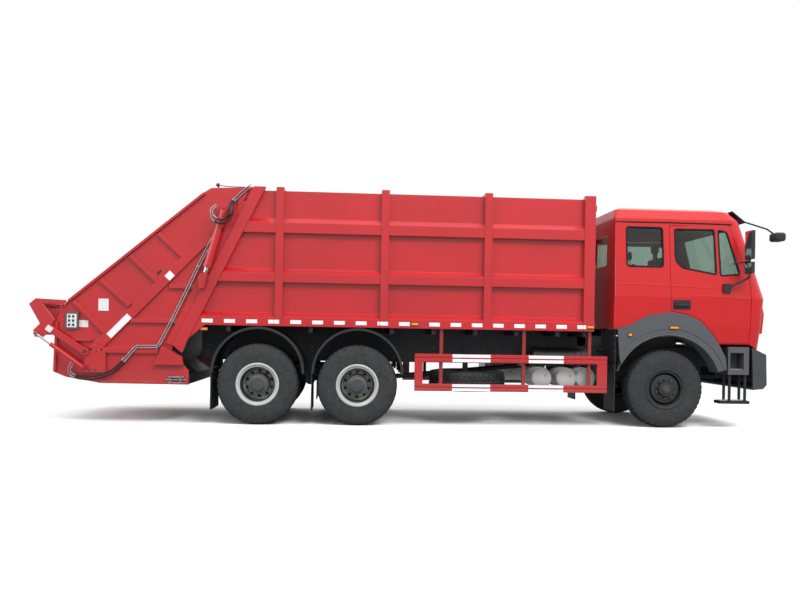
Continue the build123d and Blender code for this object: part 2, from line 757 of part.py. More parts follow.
def lift_barrels():
    """The two lift cylinder barrels, each hollow, with its upper eye and gland."""
    barrel = rod(on_lift(40), on_lift(lift_barrel_len), lift_barrel_r)
    barrel += rod(on_lift(lift_barrel_len - 60), on_lift(lift_barrel_len), lift_barrel_r + 7)
    barrel += across(lift_base[0], lift_base[1], 50, (lift_y - 28, lift_y + 28))
    barrel -= rod(on_lift(110), on_lift(lift_barrel_len - 20), lift_barrel_r - 10)
    barrel -= rod(on_lift(lift_barrel_len - 21), on_lift(lift_barrel_len + 1), lift_rod_r + 1)
    barrel -= across(lift_base[0], lift_base[1], 22 + shaft_gap, (lift_y - 40, lift_y + 40))
    return both(barrel)


def lift_rods():
    """The two lift cylinder rods with their lower eyes."""
    piston = rod(on_lift(130), on_lift(lift_len - 30), lift_rod_r)
    piston += across(lift_eye[0], lift_eye[1], 45, (lift_y - 28, lift_y + 28))
    piston -= across(lift_eye[0], lift_eye[1], 22, (lift_y - 40, lift_y + 40))
    return both(piston)


lifter_run = (lifter_eye[0] - lifter_base[0], lifter_eye[1] - lifter_base[1])
lifter_len = hypot(*lifter_run)
lifter_barrel_len = 540


def on_lifter(distance):
    """A point on the bin lifter's cylinder, by its distance from the lower pin."""
    share = distance / lifter_len
    return (lifter_base[0] + lifter_run[0] * share, lifter_y, lifter_base[1] + lifter_run[1] * share)


def lifter_barrels():
    barrel = rod(on_lifter(20), on_lifter(lifter_barrel_len), lifter_barrel_r)
    barrel += across(lifter_base[0], lifter_base[1], 32, (lifter_y - lifter_barrel_r, lifter_y + lifter_barrel_r))
    barrel -= rod(on_lifter(48), on_lifter(lifter_barrel_len - 20), lifter_barrel_r - 6)
    barrel -= rod(on_lifter(lifter_barrel_len - 21), on_lifter(lifter_barrel_len + 1), lifter_rod_r + 1)
    barrel -= across(lifter_base[0], lifter_base[1], 16 + shaft_gap, (lifter_y - 40, lifter_y + 40))
    return both(barrel)


def lifter_rods():
    piston = rod(on_lifter(180), on_lifter(lifter_len - 18), lifter_rod_r)
    piston += across(lifter_eye[0], lifter_eye[1], 28, (lifter_y - 20, lifter_y + 20))
    piston -= across(lifter_eye[0], lifter_eye[1], 14, (lifter_y - 40, lifter_y + 40))
    return both(piston)


def bin_lifter():
    """The lifting frame: two arms outside the tailgate, a cross tube, and the comb that takes a bin's rim."""
    px, pz = arm_pivot
    ys = (arm_y, arm_y + arm_t)
    arm = strip(arm_pivot, (px - 540, pz + 350), 90, ys)
    arm += across(px, pz, 58, ys)
    plate = [(-750, 640), (-660, 718), (-250, 700), (-335, 565), (-432, 376), (-440, 290), (-560, 185), (-668, 190),
             (-690, 280), (-600, 374)]
    arm += slab([(px + dx, pz + dz) for dx, dz in plate], ys)
    window = [(-575, 650), (-315, 642), (-400, 420)]
    arm -= slab([(px + dx, pz + dz) for dx, dz in window], (arm_y - 1, arm_y + arm_t + 1))
    arm -= across(px, pz, 24 + shaft_gap, (arm_y - 20, arm_y + 60))
    frame = arm + other_side(arm)
    frame += across(px - 672, pz + 652, 38, (-arm_y - 2, arm_y + 2))
    frame += across(px - 640, pz + 240, 28, (-arm_y - 2, arm_y + 2))
    frame += strip((px - 695, pz + 640), (px - 640, pz + 250), 14, (-arm_y + 162, arm_y - 162))
    for i in range(-5, 6):
        y = i * (arm_y - 222) / 5
        frame += strip((px - 695, pz + 635), (px - 715, pz + 715), 14, (y - 45, y + 45))
    return frame


carriage_len = 700
shoe_gap = 1


def packing_carriage():
    """The plate that slides down the guides, with its shoes and the blade's hinge ears."""
    half_y = gate_half - gate_wall - 37
    plate = strip(along(75), along(carriage_len), 110, (-half_y + 20, half_y - 20))
    for side in (-1, 1):
        ear_ys = (side * (half_y - 20), side * half_y)
        plate += strip(along(0), along(carriage_len), 104, ear_ys)
        plate += across(trough_x, trough_z, 52, ear_ys)
        shoe = strip(along(140), along(carriage_len), 2 * guide_half - 2 * shoe_gap,
                     (side * half_y, side * (half_y + 30)))
        plate += shoe
    for side in (-1, 1):
        plate -= across(trough_x, trough_z, 40 + shaft_gap, (side * (half_y - 30), side * (half_y + 10)))
    return plate


def sweep_blade():
    """The sweeping blade hung on the carriage: tube, curved face plate, stiffeners and lip."""
    half_y = gate_half - gate_wall - 37
    tip = trough_r - blade_gap
    blade = across(trough_x, trough_z, 58, (-half_y + 28, half_y - 28))
    blade += across(trough_x, trough_z, 40, (-half_y + 1, half_y - 1))
    face = [polar(50, 240), polar(470, 262), polar(tip - 5, 266), polar(tip - 5, 271), polar(470, 268), polar(50, 275)]
    blade += slab(face, (-half_y + 28, half_y - 28))
    for share in (-0.8, -0.4, 0, 0.4, 0.8):
        y = share * half_y
        rib = [polar(50, 280), polar(300, 290), polar(tip - 120, 274), polar(tip - 120, 268), polar(50, 262)]
        blade += slab(rib, (y - 12, y + 12))
    return blade


ejector_x = 2300
ejector_gap = 12


def ejector():
    """The push-out plate: a ribbed wall on two runners, with side wipers."""
    half_y = body_half - body_wall - ejector_gap
    low_z = floor_z + floor_t + 0.5
    plate = block((ejector_x, ejector_x + 12), (-half_y, half_y), (low_z + 20, panel_top_z - 40))
    for y in (-800, -400, 0, 400, 800):
        web = [(ejector_x + 12, panel_top_z - 120), (ejector_x + 12, low_z + 20), (ejector_x + 170, low_z + 20),
               (ejector_x + 150, low_z + 700)]
        plate += slab(web, (y - 10, y + 10))
    for y in (-800, 800):
        plate += block((ejector_x - 300, ejector_x + 170), (y - 60, y + 60), (low_z, low_z + 40))
    return plate


# Cab sections from the bottom up: height, rear, front, half width, front corner radius
cab_sections = (
    (1160, 2810, 5030, 1205, 150),
    (1500, 2812, 5085, 1225, 180),
    (1914, 2822, 5125, 1225, 190),
    (3060, 2846, 4768, 1110, 170),
    (3190, 2870, 4640, 1060, 170),
    (3228, 2960, 4480, 960, 150),
)
cab_rear_corner = 45


def cab_outline(rear, front, half, corner, z, inset):
    """One level section of the cab, with rounded front corners."""
    points = [(rear + inset, -half + inset), (front - inset, -half + inset), (front - inset, half - inset),
              (rear + inset, half - inset)]
    face = make_face(Polyline(*points, close=True))
    ahead = face.vertices().sort_by(Axis.X)[2:]
    face = fillet(ahead, max(corner - inset, 20))
    behind = face.vertices().sort_by(Axis.X)[:2]
    face = fillet(behind, cab_rear_corner - min(inset, 30))
    return Pos(0, 0, z) * face


def cab_form(inset, floor_inset=None):
    """The closed form of the cab, shrunk by an inset, above its floor line."""
    faces = []
    last = len(cab_sections) - 1
    for i, (z, rear, front, half, corner) in enumerate(cab_sections):
        level = z - inset if i == last else z
        faces.append(cab_outline(rear, front, half, corner, level, inset))
    form = loft(faces, ruled=True)
    step = inset if floor_inset is None else floor_inset
    under = [(2000, 900), (2000, cab_floor_z + step), (4130 + step * 0.5, cab_floor_z + step),
             (4270 + step * 0.5, 1240 + step), (4860 + step, 1240 + step), (4985 + step, 1162 + step),
             (5400, 1162 + step), (5400, 900)]
    return form - slab(under, (-1500, 1500))


door_points = [(3657, 2966), (4562, 2985), (4854, 2160), (4874, 1897), (4850, 1246), (4392, 1250), (4277, 1402),
               (4096, 1590), (3900, 1666), (3657, 1706)]
door_in = [(3663, 2960), (4558, 2979), (4847, 2158), (4867, 1897), (4844, 1252), (4395, 1256), (4282, 1406),
           (4100, 1595), (3902, 1672), (3663, 1712)]
main_window = [(3738, 2915), (4335, 2918), (4350, 2257), (3850, 2345), (3765, 2422), (3738, 2500)]
vent_window = [(4392, 2915), (4526, 2888), (4704, 2266), (4412, 2240)]
side_window = [(3015, 2353), (3557, 2353), (3557, 2932), (3015, 2932)]
windscreen = [(-1010, 2085), (1010, 2085), (925, 2985), (-925, 2985)]
rear_window = [(250, 2380), (820, 2380), (820, 2830), (250, 2830)]
side_zone = (980, 1320)


def opening_form(behind_door):
    """Everything that is cut from the cab's walls: doors, side windows, windscreen and rear windows."""
    cuts = []
    for side in (-1, 1):
        ys = (side * side_zone[0], side * side_zone[1])
        cuts.append(slab(door_points, ys) - behind_door)
        cuts.append(slab(side_window, ys))
        pane = [(side * y, z) for y, z in rear_window]
        cuts.append(front_plate(pane, (2700, 3000)))
    cuts.append(front_plate(windscreen, (4500, 5400)))
    return cuts


def cab_shell(outer, inner, behind_door):
    """The hollow cab with its door openings and windows, and the lugs of its front pivot."""
    shell = outer - inner
    for cut in opening_form(behind_door):
        shell -= cut
    for side in (-1, 1):
        ys = (side * 330, side * 350)
        shell += strip((cab_pivot_x, cab_pivot_z), (4975, 1232), 70, ys)
        shell += across(cab_pivot_x, cab_pivot_z, 42, ys)
        shell -= across(cab_pivot_x, cab_pivot_z, 25 + shaft_gap, (side * 320, side * 360))
    return shell


def cab_glass(skin):
    """The windscreen, the two side windows behind the doors and the two rear windows."""
    panes = [skin & front_plate(windscreen, (4500, 5400))]
    for side in (-1, 1):
        panes.append(skin & slab(side_window, (side * side_zone[0], side * side_zone[1])))
        panes.append(skin & front_plate([(side * y, z) for y, z in rear_window], (2700, 3000)))
    return panes


def door(outer, behind_door):
    """The left door: as thick as the cab's wall, with its window and vent window cut."""
    panel = (outer - behind_door) & slab(door_in, side_zone)
    panel -= slab(main_window, side_zone)
    panel -= slab(vent_window, side_zone)
    handle = block((3702, 3944), (cab_half - 4, cab_half + 22), (1783, 1823))
    return panel + handle


def door_glass(skin):
    """The left door's panes."""
    return [skin & slab(main_window, side_zone), skin & slab(vent_window, side_zone)]


def door_mirror():
    """The left door's mirrors on their tube frame."""
    post_y = cab_half + 120
    x = 4770
    mirror_arm = block((4440, 4550), (cab_half - 7.3, cab_half + 22), (1990, 2120))
    mirror_arm += rod((4500, cab_half + 10, 2055), (x, post_y, 2215), 16)
    mirror_arm += rod((x, post_y, 2195), (x, post_y, 2890), 14)
    mirror_arm += rod((x, post_y, 2450), (4600, cab_half - 25, 2420), 12)
    mirror_arm += block((x - 66, x - 20), (post_y - 22, post_y + 175), (2467, 2875))
    mirror_arm += block((x - 66, x - 20), (post_y - 22, post_y + 175), (2265, 2426))
    for z in (2345, 2560, 2780):
        mirror_arm += block((x - 24, x + 10), (post_y - 17, post_y + 17), (z - 20, z + 20))
    return mirror_arm


def dashboard(inside):
    """The dashboard across the cab, with the steering column and wheel on the left."""
    board = slab([(4790, 2060), (5120, 2090), (5120, 1500), (4930, 1480), (4900, 1700), (4770, 1900)], (-1180, 1180))
    board = board & inside
    wheel_y = 560
    foot = (4900, wheel_y, 1800)
    top = (4560, wheel_y, 2190)
    column = rod(foot, top, 38)
    run = Vector(*top) - Vector(*foot)
    ring = Plane(top, z_dir=run) * Torus(225, 14)
    spokes = Plane(top, z_dir=run) * Box(450, 34, 12)
    hub = Plane(top, z_dir=run) * Cylinder(60, 34)
    return board + column + ring + spokes + hub


def seat(y, width):
    """A seat: pedestal, cushion and backrest with its headrest."""
    base = block((3760, 4230), (y - width / 2 + 40, y + width / 2 - 40), (cab_floor_z + cab_wall + rest_gap, 1760))
    cushion = block((3700, 4260), (y - width / 2, y + width / 2), (1760, 1880))
    back = slab([(3700, 1870), (3820, 1870), (3730, 2560), (3620, 2560)], (y - width / 2, y + width / 2))
    head = slab([(3640, 2580), (3720, 2580), (3700, 2760), (3620, 2760)], (y - 130, y + 130))
    neck = block((3655, 3680), (y - 60, y + 60), (2540, 2600))
    return base + cushion + back + head + neck


def seats():
    bunk = block((2880, 3480), (-1080, 1080), (cab_floor_z + cab_wall + rest_gap, 1850))
    return [seat(560, 520), seat(-560, 520), bunk]


flare_points = [(2867, 1440), (3043, 1498), (3337, 1648), (3648, 1693), (3890, 1655), (4082, 1575), (4265, 1389),
                (4388, 1216), (4478, 1043), (4498, 869), (4350, 823), (2967, 818), (2905, 1000)]
arch_r = 782


def arch_flare():
    """The wide flare over a front wheel, with its inner lining."""
    plate = slab(flare_points, (cab_half + 0.3, cab_half + 32))
    plate -= across(front_axle_x, tyre_r, arch_r, (cab_half - 5, cab_half + 40))
    lining = half_ring(front_axle_x, tyre_r, arch_r + 10, arch_r, (965, cab_half + 1))
    lining &= block((2700, 4600), (900, 1300), (825, 1400))
    return plate + lining


def grille_panel(outer):
    """The raised front panel with its slots."""
    points = [(5000, 1789), (5166, 1777), (5183, 1687), (5157, 1403), (5000, 1386)]
    panel = slab(points, (-1000, 1000)) - outer
    for i in range(4):
        z = 1440 + i * 75
        panel -= block((5140, 5200), (-620, 620), (z, z + 36))
    return panel.solids().sort_by(Axis.X)[-1]


def sun_visor(outer):
    """The visor over the windscreen, with the front mirror on its thin arm at the right end."""
    visor = strip((4655, 3215), (4868, 3052), 14, (-1020, 1020))
    for y in (-900, -300, 300, 900):
        visor += slab([(4600, 3180), (4655, 3215), (4760, 3130), (4730, 3100)], (y - 8, y + 8))
    visor = (visor - outer).solids().sort_by(SortBy.VOLUME)[-1]
    start = (4850, -1005, 3066)
    elbow = (5190, -1040, 2960)
    visor += rod(start, elbow, 12)
    visor += rod(elbow, (5340, -1060, 2850), 12)
    head = Pos(5340, -1060, 2842) * Box(168, 210, 130)
    visor += fillet(head.edges(), 40)
    return visor


def tyre(x, y):
    """A tyre as a ring from bead to tread, centred on Y."""
    half = tyre_w / 2
    profile = [(y - half + 38, rim_r), (y - half + 4, 330), (y - half, 430), (y - half + 22, tyre_r - 28),
               (y - half + 42, tyre_r), (y + half - 42, tyre_r), (y + half - 22, tyre_r - 28), (y + half, 430),
               (y + half - 4, 330), (y + half - 38, rim_r)]
    return turned(profile, x, tyre_r)


def front_rim():
    """The left front wheel: rim barrel, bulged disc and hub."""
    y = front_tyre_y
    bore = spindle_r + shaft_gap
    profile = [(y - 122, rim_r - 0.3), (y + 117, rim_r - 0.3), (y + 124, rim_r + 14), (y + 132, rim_r + 14),
               (y + 132, rim_r - 16), (y + 60, rim_r - 26), (y + 116, 205), (y + 124, 150), (y + 124, 118),
               (y + 178, 108), (y + 184, 60), (y + 184, 0), (y + 150, 0), (y + 150, bore), (y - 8, bore),
               (y - 8, 140), (y + 90, 150), (y + 96, 190), (y + 30, rim_r - 34), (y - 122, rim_r - 18)]
    return turned(profile, front_axle_x, tyre_r)


def rear_rims(x):
    """The left pair of rear rims: two barrels bolted back to back on one hub."""
    a, b = rear_inner_y, rear_outer_y
    mid_y = (a + b) / 2
    bore = rear_spindle_r + shaft_gap
    r_out = rim_r - 0.3
    profile = [(a - 122, r_out), (a + 122, r_out), (a + 122, rim_r - 18), (b - 122, rim_r - 18), (b - 122, r_out),
               (b + 117, r_out), (b + 124, rim_r + 14), (b + 132, rim_r + 14), (b + 132, rim_r - 14),
               (b - 60, rim_r - 30), (mid_y + 14, 190), (mid_y + 14, 150), (b + 20, 142), (b + 32, 120),
               (b + 84, 96), (b + 84, 0), (b + 52, 0), (b + 52, bore), (a - 40, bore), (a - 40, 130),
               (mid_y - 14, 140), (mid_y - 14, 190), (a + 60, rim_r - 30), (a - 122, rim_r - 18)]
    return turned(profile, x, tyre_r)


os.makedirs("parts", exist_ok=True)
outer_form = cab_form(0)
inner_form = cab_form(cab_wall)
glass_skin = cab_form(16) - cab_form(16 + glass_t)

save("frame_rails", frame_rails())
save("crossmembers", crossmembers() + cab_mounts())
save("front_axle", front_axle())
save("leaf_springs", leaf_springs())
save("rear_axles", rear_axles())
save("engine", engine())
save("driveline", driveline())
save("fuel_tank", fuel_tank())
save("air_tanks", air_tanks())
save("silencer", silencer())
save("spare_tyre", spare_wheel())
save("spare_carrier", spare_carrier())
save("guard_bars", guard_bars())
save("guard_posts", guard_posts())
save("mudguards", mudguards())
save("front_bumper", front_bumper())
save("cab_steps", both(cab_step()))
save("body_floor", body_floor())
save("body_sides", body_sides())
save("body_roof", body_roof())
save("body_front_wall", body_front_wall())
save("rear_frame", rear_frame())
save("ejector", ejector())
save("tailgate_sides", tailgate_sides())
save("tailgate_back", tailgate_back())
save("hopper_trough", hopper_trough())
save("lift_barrels", lift_barrels())
save("lift_rods", lift_rods())
save("bin_lifter", bin_lifter())
save("lifter_barrels", lifter_barrels())
save("lifter_rods", lifter_rods())
save("packing_carriage", packing_carriage())
save("sweep_blade", sweep_blade())
save("cab_shell", cab_shell(outer_form, inner_form, cab_form(cab_wall + door_gap, 0)))
save("cab_glass", cab_glass(glass_skin))
save("dashboard", dashboard(cab_form(cab_wall + 1)))
save("seats", seats())
save("arch_flares", both(arch_flare()))
save("grille_panel", grille_panel(outer_form))
save("sun_visor", sun_visor(outer_form))
for name, side in (("left", 1), ("right", -1)):
    turn = (lambda shape: shape) if side == 1 else other_side
    save("door_" + name, turn(door(outer_form, cab_form(cab_wall, -door_gap))))
    save("door_glass_" + name, [turn(pane) for pane in door_glass(glass_skin)])
    save("mirrors_" + name, turn(door_mirror()))
    save("knuckle_" + name, knuckle(side))
    save("front_tyre_" + name, tyre(front_axle_x, side * front_tyre_y))
    save("front_rim_" + name, turn(front_rim()))
    for number, x in (("1", rear_axle_1_x), ("2", rear_axle_2_x)):
        pair = [tyre(x, side * rear_outer_y), tyre(x, side * rear_inner_y)]
        save("rear_tyres_" + number + "_" + name, pair)
        save("rear_rims_" + number + "_" + name, turn(rear_rims(x)))
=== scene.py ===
import math

import bmesh
import bpy
from mathutils import Matrix, Vector


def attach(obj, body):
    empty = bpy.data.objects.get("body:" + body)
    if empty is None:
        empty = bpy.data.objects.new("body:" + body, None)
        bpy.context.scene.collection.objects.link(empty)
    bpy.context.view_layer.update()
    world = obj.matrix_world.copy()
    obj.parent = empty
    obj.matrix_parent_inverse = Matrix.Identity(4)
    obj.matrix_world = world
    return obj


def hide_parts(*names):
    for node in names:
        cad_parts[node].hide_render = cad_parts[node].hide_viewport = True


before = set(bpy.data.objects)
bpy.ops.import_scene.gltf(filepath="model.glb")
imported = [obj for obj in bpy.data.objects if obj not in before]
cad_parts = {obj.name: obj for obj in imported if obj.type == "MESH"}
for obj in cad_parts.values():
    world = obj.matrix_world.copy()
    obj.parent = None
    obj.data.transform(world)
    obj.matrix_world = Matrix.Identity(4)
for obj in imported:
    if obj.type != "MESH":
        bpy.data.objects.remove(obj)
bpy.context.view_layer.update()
print("frame loaded")

mm = 0.001
# where the axles stand along the truck, and how high
frontAxleX, rearAxlesX, axleZ = 3.630, (-0.870, -2.270), 0.570


def srgb(hexColour):
    # hex as seen on a screen, to the linear values that nodes use
    channels = [int(hexColour[i:i + 2], 16) / 255 for i in (0, 2, 4)]
    return tuple(c / 12.92 if c <= 0.04045 else ((c + 0.055) / 1.055) ** 2.4 for c in channels) + (1.0,)


def addNode(tree, kind, settings=None, links=None):
    # a plain name sets an input's value or a node's property; links go from sockets to inputs
    node = tree.nodes.new(kind)
    for name, value in (settings or {}).items():
        if isinstance(name, int) or name in node.inputs:
            node.inputs[name].default_value = value
        else:
            setattr(node, name, value)
    for name, socket in (links or {}).items():
        tree.links.new(socket, node.inputs[name])
    return node


def newMaterial(name, **shader):
    material = bpy.data.materials.new(name)
    material.use_nodes = True
    tree = material.node_tree
    tree.nodes.clear()
    output = tree.nodes.new("ShaderNodeOutputMaterial")
    surface = addNode(tree, "ShaderNodeBsdfPrincipled",
                      {key.replace("_", " "): value for key, value in shader.items()})
    tree.links.new(surface.outputs["BSDF"], output.inputs["Surface"])
    place = tree.nodes.new("ShaderNodeNewGeometry").outputs["Position"]
    return material, tree, surface, place


def bandMix(tree, factor, lowHex, highHex):
    return addNode(tree, "ShaderNodeMix", {"data_type": "RGBA", 6: srgb(lowHex), 7: srgb(highHex)},
                   {0: factor}).outputs[2]


def sprayedEnamel(name, paint, looks):
    # two-pack enamel sprayed on steel: even colour, soft sheen, faint orange peel and the plate's slow waves
    material, tree, surface, place = newMaterial(name, IOR=1.5, Coat_Weight=looks["coat"],
                                                 Coat_Roughness=0.12)
    # broad patches of a second tone: on the red body a painted reflection of clouds, on the other paints an
    # uneven tone
    cloud = addNode(tree, "ShaderNodeTexNoise", {"Scale": 1 / (looks["patchMm"] * mm), "Detail": 4.0},
                    {"Vector": place})
    patchy = addNode(tree, "ShaderNodeMapRange", {"From Min": 0.3, "From Max": 0.7},
                     {"Value": cloud.outputs["Fac"]})
    colour = addNode(tree, "ShaderNodeMix", {"data_type": "RGBA", 6: srgb(paint), 7: srgb(looks["wornAndCloudTone"])},
                     {0: patchy.outputs["Result"]}).outputs[2]
    # road dust lies on the lower half metre or so
    height = addNode(tree, "ShaderNodeSeparateXYZ", {}, {0: place}).outputs["Z"]
    low = addNode(tree, "ShaderNodeMapRange", {"From Min": looks["dustTop"], "From Max": 0.3,
                                               "To Max": looks["dust"]},
                  {"Value": height})
    grit = addNode(tree, "ShaderNodeTexNoise", {"Scale": 1 / (35 * mm), "Detail": 8.0}, {"Vector": place})
    dusty = addNode(tree, "ShaderNodeMath", {"operation": "MULTIPLY", "use_clamp": True},
                    {0: low.outputs["Result"], 1: grit.outputs["Fac"]})
    dusted = addNode(tree, "ShaderNodeMix", {"data_type": "RGBA", 7: srgb("8d8378")},
                     {0: dusty.outputs[0], 6: colour})
    tree.links.new(dusted.outputs[2], surface.inputs["Base Color"])
    rough = addNode(tree, "ShaderNodeMapRange",
                    {"To Min": looks["roughness"] - 0.05, "To Max": looks["roughness"] + 0.09},
                    {"Value": grit.outputs["Fac"]})
    tree.links.new(rough.outputs["Result"], surface.inputs["Roughness"])
    waves = addNode(tree, "ShaderNodeTexNoise", {"Scale": 1 / (looks["waveMm"] * mm), "Detail": 1.0},
                    {"Vector": place})
    # a sheared and welded edge is rounded by some millimetres of paint, and catches the light
    rounded = addNode(tree, "ShaderNodeBevel", {"samples": 4, "Radius": looks["edgeMm"] * mm})
    slow = addNode(tree, "ShaderNodeBump", {"Strength": looks["wave"], "Distance": 0.006},
                   {"Height": waves.outputs["Fac"], "Normal": rounded.outputs[0]})
    # real orange peel is 2 mm across; drawn at 6 mm so that it shows
    peel = addNode(tree, "ShaderNodeTexNoise", {"Scale": 1 / (6 * mm), "Detail": 2.0}, {"Vector": place})
    fine = addNode(tree, "ShaderNodeBump", {"Strength": 0.04, "Distance": 0.001},
                   {"Height": peel.outputs["Fac"], "Normal": slow.outputs["Normal"]})
    tree.links.new(fine.outputs["Normal"], surface.inputs["Normal"])
    return material


def placeIn(tree):
    return addNode(tree, "ShaderNodeSeparateXYZ", {},
                   {0: tree.nodes.new("ShaderNodeNewGeometry").outputs["Position"]})


def awayFromMiddle(tree):
    return addNode(tree, "ShaderNodeMath", {"operation": "ABSOLUTE"},
                   {0: placeIn(tree).outputs["Y"]}).outputs[0]


def heightOf(tree):
    return placeIn(tree).outputs["Z"]


def towardsTail(tree):
    # distance behind the truck's middle in the piece's own frame, so that the mask travels with it
    place = addNode(tree, "ShaderNodeSeparateXYZ", {},
                    {0: tree.nodes.new("ShaderNodeTexCoord").outputs["Object"]})
    return addNode(tree, "ShaderNodeMath", {"operation": "MULTIPLY", 1: -1.0},
                   {0: place.outputs["X"]}).outputs[0]


def fromRearAxles(tree):
    # distance from the nearer rear axle in the side view, folded about the middle between the two
    middle, reach = sum(rearAxlesX) / 2, (rearAxlesX[0] - rearAxlesX[1]) / 2
    place = placeIn(tree)
    along = addNode(tree, "ShaderNodeMath", {"operation": "SUBTRACT", 1: middle}, {0: place.outputs["X"]})
    folded = addNode(tree, "ShaderNodeMath", {"operation": "ABSOLUTE"}, {0: along.outputs[0]})
    spot = addNode(tree, "ShaderNodeCombineXYZ", {}, {"X": folded.outputs[0], "Z": place.outputs["Z"]})
    offset = addNode(tree, "ShaderNodeVectorMath", {"operation": "SUBTRACT", 1: (reach, 0, axleZ)},
                     {0: spot.outputs[0]})
    return addNode(tree, "ShaderNodeVectorMath", {"operation": "LENGTH"},
                   {0: offset.outputs[0]}).outputs["Value"]


def secondTone(material, tone, measure, edge):
    # a masked second tone, wherever the measure is less than the edge in metres: a second coat of paint on
    # the guard posts and steps, painted shade and painted light on the rims, painted shade on the hopper
    # trough
    tree = material.node_tree
    surface = next(node for node in tree.nodes if node.type == "BSDF_PRINCIPLED")
    first = surface.inputs["Base Color"].links[0].from_socket
    inside = addNode(tree, "ShaderNodeMapRange", {"From Min": edge + 0.002, "From Max": edge - 0.002},
                     {"Value": measure(tree)})
    both = addNode(tree, "ShaderNodeMix", {"data_type": "RGBA", 7: srgb(tone)},
                   {0: inside.outputs["Result"], 6: first})
    tree.links.new(both.outputs[2], surface.inputs["Base Color"])


def mouldedPlastic(name, tone, looks):
    # injection moulded polypropylene: dull, with a grained skin and lighter rubbed patches
    material, tree, surface, place = newMaterial(name, IOR=1.49)
    grain = addNode(tree, "ShaderNodeTexVoronoi", {"Scale": 1 / (looks["grainMm"] * mm)}, {"Vector": place})
    cloud = addNode(tree, "ShaderNodeTexNoise", {"Scale": 1 / (140 * mm), "Detail": 6.0}, {"Vector": place})
    colour = bandMix(tree, cloud.outputs["Fac"], tone, looks["rubbed"])
    tree.links.new(colour, surface.inputs["Base Color"])
    rough = addNode(tree, "ShaderNodeMapRange",
                    {"To Min": looks["roughness"] - 0.08, "To Max": looks["roughness"] + 0.1},
                    {"Value": cloud.outputs["Fac"]})
    tree.links.new(rough.outputs["Result"], surface.inputs["Roughness"])
    bump = addNode(tree, "ShaderNodeBump", {"Strength": 0.25, "Distance": 0.0006},
                   {"Height": grain.outputs["Distance"]})
    tree.links.new(bump.outputs["Normal"], surface.inputs["Normal"])
    return material


def tyreRubber():
    # carbon black rubber: near black, dull, greyed by patches of dust
    material, tree, surface, place = newMaterial("tyreRubber", IOR=1.52)
    dust = addNode(tree, "ShaderNodeTexNoise", {"Scale": 1 / (60 * mm), "Detail": 10.0, "Roughness": 0.65},
                   {"Vector": place})
    spread = addNode(tree, "ShaderNodeMapRange", {"From Min": 0.35, "From Max": 0.75},
                     {"Value": dust.outputs["Fac"]})
    tree.links.new(bandMix(tree, spread.outputs["Result"], "232527", "383b3d"), surface.inputs["Base Color"])
    rough = addNode(tree, "ShaderNodeMapRange", {"To Min": 0.62, "To Max": 0.85},
                    {"Value": dust.outputs["Fac"]})
    tree.links.new(rough.outputs["Result"], surface.inputs["Roughness"])
    skin = addNode(tree, "ShaderNodeBump", {"Strength": 0.2, "Distance": 0.001},
                   {"Height": dust.outputs["Fac"]})
    tree.links.new(skin.outputs["Normal"], surface.inputs["Normal"])
    return material


def bareMetal(name, tone, looks):
    # a metal face left bare: the make gives the streaks their length and the roughness its range
    material, tree, surface, place = newMaterial(name, Metallic=1.0)
    stretch = addNode(tree, "ShaderNodeVectorMath", {"operation": "MULTIPLY", 1: looks["streak"]}, {0: place})
    marks = addNode(tree, "ShaderNodeTexNoise", {"Scale": 1 / (looks["markMm"] * mm), "Detail": 6.0},
                    {"Vector": stretch.outputs[0]})
    tree.links.new(bandMix(tree, marks.outputs["Fac"], tone, looks["dull"]), surface.inputs["Base Color"])
    rough = addNode(tree, "ShaderNodeMapRange", {"To Min": looks["smooth"], "To Max": looks["rough"]},
                    {"Value": marks.outputs["Fac"]})
    tree.links.new(rough.outputs["Result"], surface.inputs["Roughness"])
    bump = addNode(tree, "ShaderNodeBump", {"Strength": 0.06, "Distance": 0.001},
                   {"Height": marks.outputs["Fac"]})
    tree.links.new(bump.outputs["Normal"], surface.inputs["Normal"])
    return material


def temperedGlass(name, tint, roughness=0.02):
    # float glass, bent and tempered: clear with a tint, and rain specks on its face; on the cab windows the
    # tint is also a painted reflection of green hedges and painted shade of the dark cab inside
    material, tree, surface, place = newMaterial(name, IOR=1.45, Transmission_Weight=1.0)
    surface.inputs["Base Color"].default_value = srgb(tint)
    specks = addNode(tree, "ShaderNodeTexNoise", {"Scale": 1 / (25 * mm), "Detail": 8.0}, {"Vector": place})
    rough = addNode(tree, "ShaderNodeMapRange",
                    {"From Min": 0.55, "To Min": roughness, "To Max": roughness + 0.12},
                    {"Value": specks.outputs["Fac"]})
    tree.links.new(rough.outputs["Result"], surface.inputs["Roughness"])
    return material


def lampLens(name, tone, ribMm):
    # moulded acrylic lens over a reflector: bright, glossy, with fine upright ribs
    material, tree, surface, place = newMaterial(name, IOR=1.49, Coat_Weight=0.6)
    ribs = addNode(tree, "ShaderNodeTexWave", {"Scale": 1 / (ribMm * mm) / 6.28, "Distortion": 0.0},
                   {"Vector": place})
    tree.links.new(bandMix(tree, ribs.outputs["Fac"], tone[0], tone[1]), surface.inputs["Base Color"])
    cloud = addNode(tree, "ShaderNodeTexNoise", {"Scale": 1 / (30 * mm)}, {"Vector": place})
    rough = addNode(tree, "ShaderNodeMapRange", {"To Min": 0.08, "To Max": 0.2},
                    {"Value": cloud.outputs["Fac"]})
    tree.links.new(rough.outputs["Result"], surface.inputs["Roughness"])
    bump = addNode(tree, "ShaderNodeBump", {"Strength": 0.3, "Distance": 0.001},
                   {"Height": ribs.outputs["Fac"]})
    tree.links.new(bump.outputs["Normal"], surface.inputs["Normal"])
    return material


